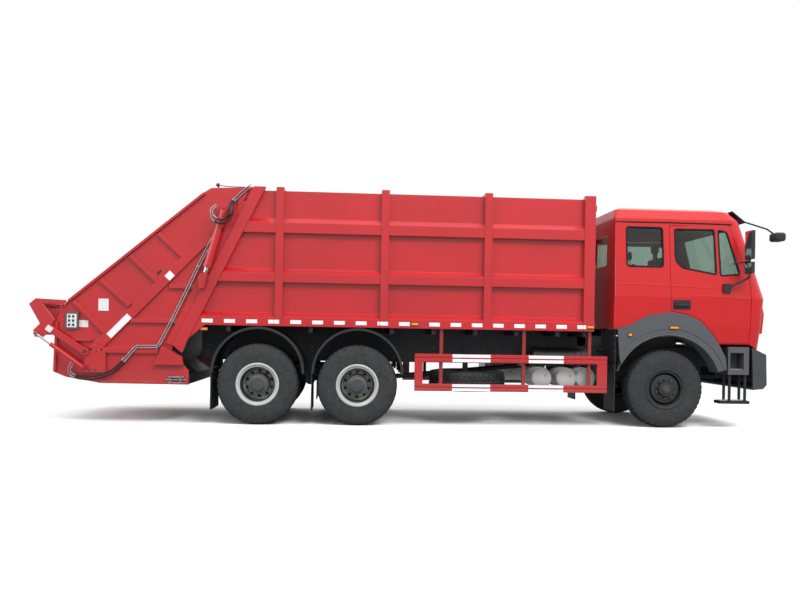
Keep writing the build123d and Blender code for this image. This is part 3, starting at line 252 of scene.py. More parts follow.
def reflectiveTape(name, tones):
    # retroreflective film: cells in a honeycomb under clear plastic; real ones are 3 mm, drawn at 9 mm
    material, tree, surface, place = newMaterial(name, IOR=1.5, Coat_Weight=0.5)
    cells = addNode(tree, "ShaderNodeTexVoronoi",
                    {"Scale": 1 / (9 * mm), "Randomness": 0.15, "feature": "DISTANCE_TO_EDGE"},
                    {"Vector": place})
    edge = addNode(tree, "ShaderNodeMapRange", {"From Max": 0.12}, {"Value": cells.outputs["Distance"]})
    tree.links.new(bandMix(tree, edge.outputs["Result"], tones[0], tones[1]), surface.inputs["Base Color"])
    grime = addNode(tree, "ShaderNodeTexNoise", {"Scale": 1 / (50 * mm), "Detail": 5.0}, {"Vector": place})
    rough = addNode(tree, "ShaderNodeMapRange", {"To Min": 0.25, "To Max": 0.45},
                    {"Value": grime.outputs["Fac"]})
    tree.links.new(rough.outputs["Result"], surface.inputs["Roughness"])
    return material


def seatCloth():
    # woven polyester: warp and weft 1 mm apart, drawn at 5 mm so that they show, with a short fibre's sheen
    material, tree, surface, place = newMaterial("wovenPolyester", Sheen_Weight=0.4, Roughness=0.9)
    warp = addNode(tree, "ShaderNodeTexWave", {"Scale": 1 / (5 * mm) / 6.28, "Distortion": 1.0,
                                               "bands_direction": "Y"},
                   {"Vector": place})
    weft = addNode(tree, "ShaderNodeTexWave", {"Scale": 1 / (5 * mm) / 6.28, "Distortion": 1.0,
                                               "bands_direction": "Z"},
                   {"Vector": place})
    weave = addNode(tree, "ShaderNodeMath", {"operation": "MULTIPLY"},
                    {0: warp.outputs["Fac"], 1: weft.outputs["Fac"]})
    tree.links.new(bandMix(tree, weave.outputs[0], "2a2d33", "4a4f58"), surface.inputs["Base Color"])
    bump = addNode(tree, "ShaderNodeBump", {"Strength": 0.4, "Distance": 0.001}, {"Height": weave.outputs[0]})
    tree.links.new(bump.outputs["Normal"], surface.inputs["Normal"])
    return material


# the body's patches of deeper red are a painted reflection of clouds on its panels
bodyPaint = {"coat": 0.7, "patchMm": 900, "wornAndCloudTone": "a91c22", "dustTop": 0.9, "dust": 0.2, "roughness": 0.28,
             "waveMm": 420, "wave": 0.25, "edgeMm": 15}
cabPaint = {"coat": 0.3, "patchMm": 1500, "wornAndCloudTone": "b01015", "dustTop": 0.7, "dust": 0.15, "roughness": 0.28,
            "waveMm": 700, "wave": 0.03, "edgeMm": 4}
framePaint = {"coat": 0.0, "patchMm": 260, "wornAndCloudTone": "32363c", "dustTop": 1.3, "dust": 0.16, "roughness": 0.5,
              "waveMm": 200, "wave": 0.05, "edgeMm": 3}
bodyEnamel = sprayedEnamel("bodyEnamel", "b61c22", bodyPaint)
cabEnamel = sprayedEnamel("cabEnamel", "b40c11", cabPaint)
chassisEnamel = sprayedEnamel("chassisEnamel", "262a2f", framePaint)
silverPaint = dict(framePaint, wornAndCloudTone="a6a7a8", dust=0.1, roughness=0.36, coat=0.2)
rimSilver = sprayedEnamel("rimSilver", "b9bbbd", silverPaint)
# rear rims: a dark band over the barrel is painted shade, the pale ring over the disc is painted light on a
# face that lies in shade, and the middle is a darker grey
secondTone(rimSilver, "34373a", fromRearAxles, 0.246)
secondTone(rimSilver, "d2d0c4", fromRearAxles, 0.222)
secondTone(rimSilver, "6e7274", fromRearAxles, 0.155)
rimBlack = sprayedEnamel("rimBlack", "1d1e20", dict(framePaint, wornAndCloudTone="26282a", dust=0.06, roughness=0.36))
engineEnamel = sprayedEnamel("engineEnamel", "4a4d50", dict(framePaint, wornAndCloudTone="54585c"))
tankEnamel = sprayedEnamel("tankEnamel", "b4b6b4", dict(silverPaint, wornAndCloudTone="a2a4a2", wave=0.02))
postEnamel = sprayedEnamel("postEnamel", "b61c22", bodyPaint)
secondTone(postEnamel, "1f2226", awayFromMiddle, 1.1895)
troughEnamel = sprayedEnamel("troughEnamel", "b61c22", dict(bodyPaint, coat=0.0, roughness=0.5))
# the trough's front part, whose face lies in shadow between the tailgate and the rear wheels, is drawn near
# black as painted shade
secondTone(troughEnamel, "1b1d20", towardsTail, 3.900)
flarePlastic = mouldedPlastic("greyPolypropylene", "45484c",
                              {"grainMm": 5, "rubbed": "505357", "roughness": 0.6})
bumperPlastic = mouldedPlastic("dipCoatedSteel", "35383b",
                               {"grainMm": 7, "rubbed": "3f4246", "roughness": 0.5})
stepPlastic = mouldedPlastic("stepPolypropylene", "45484c",
                             {"grainMm": 5, "rubbed": "505357", "roughness": 0.6})
secondTone(stepPlastic, "1c1d1f", heightOf, 0.790)
blackPlastic = mouldedPlastic("blackPolypropylene", "1b1e22",
                              {"grainMm": 5, "rubbed": "2a2e34", "roughness": 0.5})
sealRubber = mouldedPlastic("extrudedRubber", "0f0f10", {"grainMm": 9, "rubbed": "1a1a1b", "roughness": 0.7})
hoseRubber = mouldedPlastic("braidedHoseRubber", "111112",
                            {"grainMm": 7, "rubbed": "222224", "roughness": 0.6})
dashPlastic = mouldedPlastic("grainedABS", "3a3d42", {"grainMm": 6, "rubbed": "44474c", "roughness": 0.6})
treadRubber = tyreRubber()
cleanChrome = bareMetal("hardChrome", "d8d9dc",
                        {"streak": (1, 1, 1), "markMm": 60, "dull": "c4c6ca", "smooth": 0.06, "rough": 0.16})
zincSteel = bareMetal("zincPlatedSteel", "b4b6ba",
                      {"streak": (1, 1, 1), "markMm": 14, "dull": "86888c", "smooth": 0.3, "rough": 0.5})
spunAluminium = bareMetal("spunAluminium", "cfd1d4",
                          {"streak": (1, 0.2, 1), "markMm": 30, "dull": "a9abae", "smooth": 0.2,
                           "rough": 0.36})
rolledSteel = bareMetal("rolledSteel", "77787a",
                        {"streak": (0.2, 1, 1), "markMm": 40, "dull": "5a5b5d", "smooth": 0.38, "rough": 0.6})
mirrorGlass = bareMetal("silveredGlass", "dfe3e6",
                        {"streak": (1, 1, 1), "markMm": 90, "dull": "d4d9dc", "smooth": 0.02, "rough": 0.06})
# the windows' green grey tint is darker and greener than the glass's own: a painted reflection of hedges and
# painted shade of the cab inside
windowGlass = temperedGlass("temperedGlass", "aebfb6")
lampGlass = temperedGlass("polycarbonateLens", "f2f5f6", 0.05)
amberLens = lampLens("amberAcrylic", ("e07a10", "f29a24"), 6)
redLens = lampLens("redAcrylic", ("9c1014", "c2201f"), 6)
whiteTape = reflectiveTape("whiteTape", ("b9bdc2", "e9ebed"))
redTape = reflectiveTape("redTape", ("8c1016", "c01a20"))
bareLabel = reflectiveTape("bareLabel", ("c9cbcc", "dcddde"))
wovenPolyester = seatCloth()
print("materials made")

nodePaint = {
    bodyEnamel: ["body_sides", "body_roof", "body_front_wall", "rear_frame", "ejector", "tailgate_sides",
                 "tailgate_back", "lift_barrels", "lifter_barrels", "bin_lifter", "packing_carriage",
                 "sweep_blade", "guard_bars"],
    troughEnamel: ["hopper_trough"],
    postEnamel: ["guard_posts"],
    cabEnamel: ["cab_shell", "grille_panel", "door_left", "door_right"],
    chassisEnamel: ["frame_rails", "crossmembers", "front_axle", "leaf_springs", "rear_axles", "driveline",
                    "body_floor", "spare_carrier", "knuckle_left", "knuckle_right"],
    stepPlastic: ["cab_steps"],
    engineEnamel: ["engine"],
    tankEnamel: ["air_tanks"],
    spunAluminium: ["fuel_tank"],
    rolledSteel: ["silencer"],
    treadRubber: ["spare_tyre", "front_tyre_left", "front_tyre_right", "rear_tyres_1_left",
                  "rear_tyres_1_right", "rear_tyres_2_left", "rear_tyres_2_right"],
    rimBlack: ["front_rim_left", "front_rim_right"],
    rimSilver: ["rear_rims_1_left", "rear_rims_1_right", "rear_rims_2_left", "rear_rims_2_right"],
    blackPlastic: ["mudguards", "mirrors_left", "mirrors_right", "sun_visor"],
    dashPlastic: ["dashboard"],
    flarePlastic: ["arch_flares"],
    bumperPlastic: ["front_bumper"],
    cleanChrome: ["lift_rods", "lifter_rods"],
    wovenPolyester: ["seats"],
    windowGlass: ["cab_glass", "door_glass_left", "door_glass_right"],
}
for material, nodes in nodePaint.items():
    for node in nodes:
        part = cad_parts[node]
        part.data.materials.clear()
        part.data.materials.append(material)
print("nodes painted")


def finishPiece(name, bm, material, body, smoothDeg=None):
    mesh = bpy.data.meshes.new(name)
    bmesh.ops.recalc_face_normals(bm, faces=bm.faces)
    bm.to_mesh(mesh)
    bm.free()
    mesh.materials.append(material)
    if smoothDeg:
        mesh.shade_smooth()
        mesh.set_sharp_from_angle(angle=math.radians(smoothDeg))
    piece = bpy.data.objects.new(name, mesh)
    bpy.context.collection.objects.link(piece)
    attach(piece, body)
    return piece


def boxForm(bm, low, high, edge=0.0, turn=None):
    # a block with eased edges; turn is (matrix, pivot) for one that lies askew
    cube = bmesh.ops.create_cube(bm, size=1.0)["verts"]
    for vert in cube:
        vert.co = Vector((low[i] + high[i]) / 2 + vert.co[i] * (high[i] - low[i]) for i in range(3))
    if edge:
        edges = {e for vert in cube for e in vert.link_edges}
        cube = bmesh.ops.bevel(bm, geom=list(edges), offset=edge, segments=2, affect="EDGES")["verts"]
    if turn:
        matrix, pivot = turn
        for vert in set(cube):
            vert.co = matrix @ (vert.co - Vector(pivot)) + Vector(pivot)
    return cube


def latheForm(bm, profile, centre, axis, steps=48, closed=False):
    # profile is (distance along the axis, radius)
    axis = Vector(axis).normalized()
    side = axis.orthogonal().normalized()
    other = axis.cross(side)
    rings = []
    for along, radius in profile:
        if radius < 1e-6:
            rings.append([bm.verts.new(Vector(centre) + axis * along)])
            continue
        ring = []
        for k in range(steps):
            a = math.tau * k / steps
            ring.append(bm.verts.new(Vector(centre) + axis * along
                                     + (side * math.cos(a) + other * math.sin(a)) * radius))
        rings.append(ring)
    pairs = list(zip(rings, rings[1:])) + ([(rings[-1], rings[0])] if closed else [])
    for near, far in pairs:
        for k in range(steps):
            n = (k + 1) % steps
            face = [near[k % len(near)], near[n % len(near)], far[n % len(far)], far[k % len(far)]]
            corners = list(dict.fromkeys(face))
            if len(corners) > 2:
                bm.faces.new(corners)


def hexBolt(bm, place, axis, acrossFlats, height):
    # a washer, a chamfered hexagon and the stud's end
    r = acrossFlats / 2 / math.cos(math.pi / 6)
    flat = height * 0.16
    latheForm(bm, [(0, 0), (0, r * 1.25), (flat, r * 1.25), (flat, 0)], place, axis, 16)
    latheForm(bm, [(flat, 0), (flat, r), (height * 0.86, r), (height, r * 0.86), (height, 0)], place, axis, 6)
    latheForm(bm, [(height, 0), (height, r * 0.46), (height * 1.4, r * 0.42), (height * 1.4, 0)], place,
              axis, 10)


def bentPipe(name, points, radius, material, body, closed=False):
    # a rigid pipe, a clipped hose or a seal that closes on itself, as one round curve through given points
    data = bpy.data.curves.new(name, "CURVE")
    data.dimensions = "3D"
    data.bevel_depth = radius
    data.bevel_resolution = 2 if closed else 3
    data.resolution_u = 8
    data.use_fill_caps = not closed
    spline = data.splines.new("POLY" if closed else "NURBS")
    spline.points.add(len(points) - 1)
    for point, place in zip(spline.points, points):
        point.co = (*place, 1)
    if closed:
        spline.use_cyclic_u = True
    else:
        spline.order_u = 3
        spline.use_endpoint_u = True
    data.materials.append(material)
    piece = bpy.data.objects.new(name, data)
    bpy.context.collection.objects.link(piece)
    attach(piece, body)


tyreSpec = {"outerR": 0.570, "halfWidth": 0.1525, "beadR": 0.256, "rootR": 0.554, "lugs": 44, "steps": 132}


def tyreForm(bm, centre, axis=(0, 1, 0)):
    # carcass turned from bead to bead, then rows of lugs: two rows on the shoulders and three between them
    s = tyreSpec
    half = s["halfWidth"]
    side = [(half - 0.038, s["beadR"]), (half - 0.020, 0.268), (half - 0.013, 0.292), (half - 0.008, 0.300),
            (half - 0.004, 0.330), (half, 0.400), (half, 0.432), (half - 0.003, 0.448), (half - 0.001, 0.452),
            (half - 0.003, 0.462), (half - 0.009, 0.500), (half - 0.018, 0.532),
            (half - 0.030, s["rootR"] - 0.004), (half - 0.040, s["rootR"])]
    profile = [(-a, r) for a, r in side] + [(a, r) for a, r in reversed(side)]
    latheForm(bm, profile, centre, axis, s["steps"])
    axis = Vector(axis).normalized()
    up = axis.orthogonal().normalized()
    pitch = math.tau / s["lugs"]
    rows = [(-0.098, 0.040, 0.0, 0.60), (-0.050, 0.034, 0.5, 0.78), (0.0, 0.036, 0.0, 0.80),
            (0.050, 0.034, 0.5, 0.78), (0.098, 0.040, 0.0, 0.60)]
    for offset, width, shift, fill in rows:
        for k in range(s["lugs"]):
            middle = (k + shift) * pitch
            corners = []
            for r in (s["rootR"] - 0.006, s["outerR"] - 0.0004):
                for along in (offset - width / 2, offset + width / 2):
                    for end in (-1, 1):
                        skew = 0.10 * pitch * (1 if along > offset else -1) * (1 if offset >= 0 else -1)
                        a = middle + end * fill * pitch / 2 + skew
                        drop = 0.010 if abs(along) > 0.115 and r > s["rootR"] else 0
                        spoke = Matrix.Rotation(a, 3, axis) @ up
                        corners.append(bm.verts.new(Vector(centre) + axis * along + spoke * (r - drop)))
            c = corners
            for quad in ((0, 1, 3, 2), (4, 6, 7, 5), (0, 4, 5, 1), (2, 3, 7, 6), (0, 2, 6, 4), (1, 5, 7, 3)):
                bm.faces.new([c[i] for i in quad])
            if abs(offset) > 0.09:
                # the shoulder lug runs down on the side wall
                out = 1 if offset > 0 else -1
                low = []
                for along, r in ((0.112, s["outerR"] - 0.014), (0.134, 0.546), (0.141, 0.520),
                                 (0.136, 0.518), (0.112, 0.540)):
                    for end in (-1, 1):
                        spoke = Matrix.Rotation(middle + end * fill * pitch * 0.42, 3, axis) @ up
                        low.append(bm.verts.new(Vector(centre) + axis * along * out + spoke * r))
                for i in range(0, 10, 2):
                    j = (i + 2) % 10
                    bm.faces.new([low[i], low[i + 1], low[j + 1], low[j]])
                bm.faces.new([low[i] for i in (0, 2, 4, 6, 8)])
                bm.faces.new([low[i] for i in (9, 7, 5, 3, 1)])


# each axle's wheels: tyre middles from the truck's middle, nodes without their side, and the rim's finish
wheelSets = {
    "front": {"x": frontAxleX, "tyresY": (1.007,), "tyre": "front_tyre_", "body": "front_wheel_",
              "rim": rimBlack, "slot": "black_rim", "nuts": rolledSteel, "nutCircle": 0.134,
              "nutFace": 1.007 + 0.124, "capFace": 1.007 + 0.184, "capR": 0.058},
}
for name, number, x in (("rearOne", 1, rearAxlesX[0]), ("rearTwo", 2, rearAxlesX[1])):
    wheelSets[name] = {"x": x, "tyresY": (1.075, 0.725), "tyre": "rear_tyres_%d_" % number,
                       "body": "rear_wheel_%d_" % number, "rim": rimSilver, "slot": "silver_rim",
                       "nuts": rimBlack, "nutCircle": 0.184, "nutFace": 1.075 - 0.140,
                       "capFace": 1.075 + 0.084, "capR": 0.094}


def wheelTyres():
    for name, wheel in wheelSets.items():
        for side, sign in (("left", 1), ("right", -1)):
            bm = bmesh.new()
            for y in wheel["tyresY"]:
                tyreForm(bm, (wheel["x"], sign * y, axleZ))
            tyres = finishPiece(name + "Tyre" + side.title(), bm, treadRubber, wheel["body"] + side,
                                30)
            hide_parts(wheel["tyre"] + side)
    bm = bmesh.new()
    tyreForm(bm, (0.780, -0.610, 0.634), (0, 0, 1))
    spare = finishPiece("spareTyre", bm, treadRubber, "root", 30)
    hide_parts("spare_tyre")


def rimLips():
    # the rolled lip of each rim, which laps over the tyre's bead
    half = tyreSpec["halfWidth"]
    profile = [(half - 0.052, 0.262), (half - 0.010, 0.264), (half + 0.001, 0.276), (half + 0.003, 0.290),
               (half - 0.002, 0.301), (half - 0.010, 0.303), (half - 0.030, 0.290), (half - 0.052, 0.270)]
    for side, sign in (("left", 1), ("right", -1)):
        for name, wheel in wheelSets.items():
            lip = bmesh.new()
            latheForm(lip, profile, (wheel["x"], sign * wheel["tyresY"][0], axleZ), (0, sign, 0), 72,
                      closed=True)
            finishPiece(name + "RimLip" + side.title(), lip, wheel["rim"], wheel["body"] + side,
                        40)


wheelHardware = {"nuts": 10, "nutAF": 0.033, "nutH": 0.026, "capBolts": 8, "boltAF": 0.013, "boltH": 0.008}


def wheelNuts():
    # ten nuts on their circle, and a hub cap with its own small bolts
    h = wheelHardware
    for side, sign in (("left", 1), ("right", -1)):
        for name, wheel in wheelSets.items():
            nuts, hub = bmesh.new(), bmesh.new()
            axis, capR = Vector((0, sign, 0)), wheel["capR"]
            for k in range(h["nuts"]):
                a = math.tau * (k + 0.5) / h["nuts"]
                spot = Vector((wheel["x"] + math.cos(a) * wheel["nutCircle"], sign * wheel["nutFace"],
                               axleZ + math.sin(a) * wheel["nutCircle"]))
                hexBolt(nuts, spot, axis, h["nutAF"], h["nutH"])
            cap = [(0, 0), (0, capR), (0.006, capR), (0.010, capR - 0.006), (0.012, 0.02), (0.012, 0)]
            latheForm(hub, cap, (wheel["x"], sign * wheel["capFace"], axleZ), axis, 32)
            for k in range(h["capBolts"]):
                a = math.tau * k / h["capBolts"]
                spot = Vector((wheel["x"] + math.cos(a) * capR * 0.80, sign * (wheel["capFace"] + 0.008),
                               axleZ + math.sin(a) * capR * 0.80))
                hexBolt(hub, spot, axis, h["boltAF"], h["boltH"])
            body = wheel["body"] + side
            finishPiece(name + "WheelNuts" + side.title(), nuts, wheel["nuts"], body, 30)
            finishPiece(name + "HubCap" + side.title(), hub, rolledSteel, body, 30)


wheelTyres()
wheelNuts()
rimLips()
print("wheels dressed")


def skinAt(nodes, x, z, sign):
    # where a level ray from the side first meets one of the CAD nodes
    best = None
    for node in nodes:
        hit, place, _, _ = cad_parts[node].ray_cast(Vector((x, sign * 1.6, z)), Vector((0, -sign, 0)))
        if hit and (best is None or sign * place.y > sign * best):
            best = place.y
    return best if best is not None else sign * 1.2


bodyTrim = {"tapeZ": (1.425, 1.478), "tapeRuns": ((-3.050, 19), (0.134, 15)),
            "tapePitch": 0.153, "tapeThick": 0.0008,
            "markers": ((-3.023, 1.335), (-0.070, 1.452), (2.462, 1.452)),
            "bandX": ((0.479, 1.028), (1.580, 2.090)), "barY": 1.2252}


def marker(bm, base, x, y, z, sign, size):
    # a side marker: a black foot, and a lens that stands proud of it
    boxForm(base, (x - size[0] / 2 - 0.008, min(y, y + sign * 0.008), z - size[1] / 2 - 0.008),
            (x + size[0] / 2 + 0.008, max(y, y + sign * 0.008), z + size[1] / 2 + 0.008), 0.003)
    boxForm(bm, (x - size[0] / 2, min(y + sign * 0.006, y + sign * 0.024), z - size[1] / 2),
            (x + size[0] / 2, max(y + sign * 0.006, y + sign * 0.024), z + size[1] / 2), 0.006)


def bodyTapes():
    # red and white film along the sill, cut in equal lengths
    t = bodyTrim
    white, red = bmesh.new(), bmesh.new()
    cuts = [(start + k * t["tapePitch"], k) for start, count in t["tapeRuns"] for k in range(count)]
    for sign in (-1, 1):
        for x, k in cuts:
            # film laid over the sill, and over the posts' feet where they stand in front of it
            steps = [x + 0.001 + n * 0.0076 for n in range(21)]
            faces = [abs(skinAt(["body_sides"], (a + b) / 2, 1.45, sign)) + 0.0002
                     for a, b in zip(steps, steps[1:])]
            start = 0
            for n in range(1, 21):
                if n == 20 or abs(faces[n] - faces[start]) > 0.003:
                    y = sign * faces[start]
                    boxForm((white, red)[k % 2],
                            (steps[start], min(y, y + sign * t["tapeThick"]), t["tapeZ"][0]),
                            (steps[n], max(y, y + sign * t["tapeThick"]), t["tapeZ"][1]))
                    start = n
    finishPiece("sillTapeWhite", white, whiteTape, "root")
    finishPiece("sillTapeRed", red, redTape, "root")


def flareLamps():
    # two amber lamps on each wheel arch: a long one over the wheel and a small one on the rear leg
    lens, foot = bmesh.new(), bmesh.new()
    for sign in (-1, 1):
        for x, z, size in ((3.697, 1.466, (0.125, 0.032)), (3.045, 1.352, (0.050, 0.040))):
            marker(lens, foot, x, skinAt(["arch_flares"], x, z, sign) - sign * 0.002, z, sign, size)
    finishPiece("flareLampLenses", lens, amberLens, "cab", 40)
    finishPiece("flareLampFeet", foot, blackPlastic, "cab", 40)
    # the rolled edge of the wheel opening, and the pressed line outside it
    for side, sign in (("Left", 1), ("Right", -1)):
        for name, reach, radius, end in (("flareLip", 0.791, 0.011, 150), ("flareCrease", 0.885, 0.006, 140)):
            turns = [math.radians(angle) for angle in range(20, end + 1, 5)]
            points = [(frontAxleX + reach * math.cos(a), sign * (1.257 + 0.001), axleZ + reach * math.sin(a))
                      for a in turns]
            bentPipe(name + side, points, radius, flarePlastic, "cab")


def guardBands():
    # white film wrapped on the outer face of the side guard's two rails
    t = bodyTrim
    bm = bmesh.new()
    for sign in (-1, 1):
        for low, high in ((0.919, 1.035), (0.504, 0.611)):
            middle = (low + high) / 2
            for x0, x1 in t["bandX"]:
                for z0, z1 in ((low + 0.003, middle - 0.009), (middle + 0.009, high - 0.003)):
                    y = sign * t["barY"]
                    boxForm(bm, (x0, min(y, y + sign * 0.0008), z0), (x1, max(y, y + sign * 0.0008), z1))
    finishPiece("guardBands", bm, whiteTape, "root")


def sideMarkers():
    t = bodyTrim
    lens, foot = bmesh.new(), bmesh.new()
    for sign in (-1, 1):
        for x, z in t["markers"]:
            marker(lens, foot, x, skinAt(["body_sides", "rear_frame"], x, z, sign), z, sign, (0.10, 0.036))
    finishPiece("sideMarkerLenses", lens, amberLens, "root", 40)
    finishPiece("sideMarkerFeet", foot, blackPlastic, "root", 40)


bodyTapes()
guardBands()
sideMarkers()
flareLamps()
print("body dressed")


gateSide = {"skinY": 1.165, "ribY": 1.205, "armFaceY": 1.240,
            "labels": ((-4.481, 1.563, 0.138, 0.167), (-4.738, 1.330, 0.123, 0.096)),
            "stripe": ((-4.322, 1.212), (-4.047, 1.499), 0.088),
            "smallStripe": ((-3.542, 2.030), (-3.470, 2.105), 0.098),
            "armLabel": ((-5.150, 1.325), (-5.080, 1.275), 0.080),
            "slot": ((-3.688, 2.084), (-3.632, 2.142), 0.030), "controlBox": (-4.908, 1.308, 0.165, 0.220),
            "plateThick": 0.0012}


def stripOnSide(bm, start, end, width, y, thick, sign):
    # a flat strip laid on a side, between two points given as X and Z
    a, b = Vector((start[0], 0, start[1])), Vector((end[0], 0, end[1]))
    along = (b - a).normalized()
    over = along.cross(Vector((0, 1, 0))) * width / 2
    corners = []
    for depth in (0, thick):
        for spot in (a + over, a - over, b - over, b + over):
            corners.append(bm.verts.new((spot.x, sign * (y + depth), spot.z)))
    for quad in ((0, 1, 2, 3), (7, 6, 5, 4), (0, 4, 5, 1), (1, 5, 6, 2), (2, 6, 7, 3), (3, 7, 4, 0)):
        bm.faces.new([corners[i] for i in quad])


def gateLabels():
    # bare plates, two strips of white reflective film and a black plug, on the tailgate's side
    g = gateSide
    plates, film, slots, armPlate = bmesh.new(), bmesh.new(), bmesh.new(), bmesh.new()
    for sign in (-1, 1):
        for x, z, w, h in g["labels"]:
            y = sign * (g["skinY"] + 0.0002)
            boxForm(plates, (x, min(y, y + sign * g["plateThick"]), z),
                    (x + w, max(y, y + sign * g["plateThick"]), z + h))
        for start, end, width in (g["stripe"], g["smallStripe"]):
            stripOnSide(film, start, end, width, g["ribY"] + 0.0002, g["plateThick"], sign)
        stripOnSide(slots, *g["slot"], g["skinY"] + 0.0002, 0.003, sign)
        stripOnSide(armPlate, *g["armLabel"], g["armFaceY"] + 0.0002, g["plateThick"], sign)
    finishPiece("gatePlates", plates, bareLabel, "tailgate")
    finishPiece("gateFilm", film, whiteTape, "tailgate")
    finishPiece("slotPlugs", slots, blackPlastic, "tailgate")
    finishPiece("armPlates", armPlate, bareLabel, "bin_lifter")


def controlBox():
    # the rear control box: a grey case whose pale lid holds six rocker switches with black caps
    x, z, w, h = gateSide["controlBox"]
    case, lid, knobs = bmesh.new(), bmesh.new(), bmesh.new()
    y = -gateSide["skinY"]
    boxForm(case, (x, y - 0.036, z), (x + w, y - 0.0003, z + h), 0.008)
    boxForm(case, (x - 0.006, y - 0.041, z - 0.006), (x + w + 0.006, y - 0.030, z + h + 0.006), 0.003)
    boxForm(lid, (x + 0.018, y - 0.043, z + 0.018), (x + w - 0.018, y - 0.0409, z + h - 0.018), 0.001)
    for column in (0, 1):
        for row in range(3):
            left, low = x + 0.036 + column * 0.054, z + 0.036 + row * 0.058
            boxForm(knobs, (left, y - 0.050, low), (left + 0.028, y - 0.0429, low + 0.034), 0.002)
    finishPiece("controlCase", case, engineEnamel, "tailgate", 30)
    finishPiece("controlLid", lid, bareLabel, "tailgate", 30)
    finishPiece("controlKnobs", knobs, blackPlastic, "tailgate", 30)


def hingeBolts():
    # rows of bolts on the pivot boxes, the guide bars and the cylinder bosses
    gate, body = bmesh.new(), bmesh.new()
    for sign in (-1, 1):
        axis = (0, sign, 0)
        for k in range(6):
            a = math.tau * k / 6
            hexBolt(gate, (-2.750 + 0.047 * math.cos(a), sign * 1.215, 3.010 + 0.047 * math.sin(a)), axis,
                    0.016, 0.010)
        for dx, dz in ((-0.08, -0.10), (0.0, -0.10), (0.01, 0.16)):
            hexBolt(gate, (-4.50 + dx, sign * 1.2165, 0.838 + dz), axis, 0.018, 0.011)
        hexBolt(gate, (-4.639, sign * 1.243, 0.998), axis, 0.034, 0.018)
        for dz in (0.03, 0.09, 0.16, 0.22):
            hexBolt(body, (-3.03 + 0.02 * dz, sign * 1.3565, 1.915 + dz * 0.9), axis, 0.014, 0.008)
    finishPiece("gateBolts", gate, rolledSteel, "tailgate", 30)
    finishPiece("cylinderEyeBolts", body, rolledSteel, "root", 30)


# twin pipes and hoses of the tailgate, as X, distance from the middle and Z of each point
gateLines = {
    "pipes": [(-2.900, 1.217, 2.640), (-3.001, 1.217, 2.446), (-3.262, 1.217, 1.870), (-3.459, 1.217, 1.443),
              (-3.630, 1.217, 1.100), (-3.655, 1.217, 1.075), (-3.930, 1.217, 1.072), (-3.955, 1.217, 1.062),
              (-4.085, 1.217, 0.900)],
    "lowerHoses": [(-4.085, 1.217, 0.905), (-4.150, 1.218, 0.822), (-4.260, 1.222, 0.720),
                   (-4.430, 1.228, 0.645), (-4.600, 1.232, 0.625), (-4.740, 1.236, 0.640),
                   (-4.800, 1.238, 0.672)],
    "elbows": [(-4.800, 1.236, 0.670), (-4.850, 1.233, 0.716), (-4.822, 1.232, 0.790),
               (-4.785, 1.232, 0.856)],
    "roofPipes": [(-2.400, 1.205, 3.352), (-2.440, 1.225, 3.322), (-2.528, 1.232, 3.247),
                  (-2.625, 1.240, 3.145)],
    "barrelHoses": [(-2.622, 1.240, 3.148), (-2.645, 1.320, 3.080), (-2.640, 1.396, 2.985),
                    (-2.665, 1.402, 2.880), (-2.740, 1.402, 2.815), (-2.830, 1.402, 2.812),
                    (-2.892, 1.402, 2.865)],
    "barrelPipes": [(-2.890, 1.402, 2.860), (-2.918, 1.402, 2.930), (-2.900, 1.385, 3.010),
                    (-2.850, 1.340, 3.040)],
}


def twinLine(name, line, radius, gap, material):
    # two like lines side by side, gap apart across their run, on either side of the tailgate
    for sign, side in ((-1, "Right"), (1, "Left")):
        for k, part in enumerate((-0.5, 0.5)):
            points = []
            for i, (x, y, z) in enumerate(line):
                before, after = line[max(i - 1, 0)], line[min(i + 1, len(line) - 1)]
                run = Vector((after[0] - before[0], 0, after[2] - before[2])).normalized()
                points.append((x - run.z * gap * part, sign * y, z + run.x * gap * part))
            bentPipe(name + side + "AB"[k], points, radius, material, "tailgate")


def tailHoses():
    twinLine("gatePipe", gateLines["pipes"], 0.010, 0.032, zincSteel)
    twinLine("lowerHose", gateLines["lowerHoses"], 0.012, 0.036, hoseRubber)
    twinLine("lifterElbow", gateLines["elbows"], 0.009, 0.036, zincSteel)
    twinLine("roofPipe", gateLines["roofPipes"], 0.009, 0.034, zincSteel)
    twinLine("barrelHose", gateLines["barrelHoses"], 0.014, 0.052, hoseRubber)
    twinLine("barrelPipe", gateLines["barrelPipes"], 0.009, 0.030, zincSteel)
    clamps, ferrules = bmesh.new(), bmesh.new()
    for sign in (-1, 1):
        for x, z, rise in ((-3.110, 2.205, 64), (-3.459, 1.443, 63), (-3.930, 1.072, 0), (-3.665, 1.072, 0)):
            turn = Matrix.Rotation(-math.radians(rise), 3, "Y")
            for height, reach in ((0.036, 1.229), (0.060, 1.212)):
                boxForm(clamps, (x - 0.014, min(sign * 1.166, sign * reach), z - height / 2),
                        (x + 0.014, max(sign * 1.166, sign * reach), z + height / 2), 0.002,
                        (turn, (x, 0, z)))
        for (x, y, z), nearby in ((gateLines["lowerHoses"][0], gateLines["lowerHoses"][1]),
                                  (gateLines["lowerHoses"][-1], gateLines["lowerHoses"][-2]),
                                  (gateLines["barrelHoses"][0], gateLines["barrelHoses"][1]),
                                  (gateLines["barrelHoses"][-1], gateLines["barrelHoses"][-2])):
            run = Vector((nearby[0] - x, sign * (nearby[1] - y), nearby[2] - z)).normalized()
            gap = 0.036 if z < 2 else 0.052
            for part in (-0.5, 0.5):
                spot = (x - run.z * gap * part, sign * y, z + run.x * gap * part)
                latheForm(ferrules, [(-0.014, 0), (-0.014, 0.014), (0.004, 0.014), (0.004, 0.017),
                                     (0.050, 0.016), (0.050, 0)],
                          spot, run, 12)
    finishPiece("pipeClamps", clamps, zincSteel, "tailgate", 30)
    finishPiece("hoseFerrules", ferrules, zincSteel, "tailgate", 30)


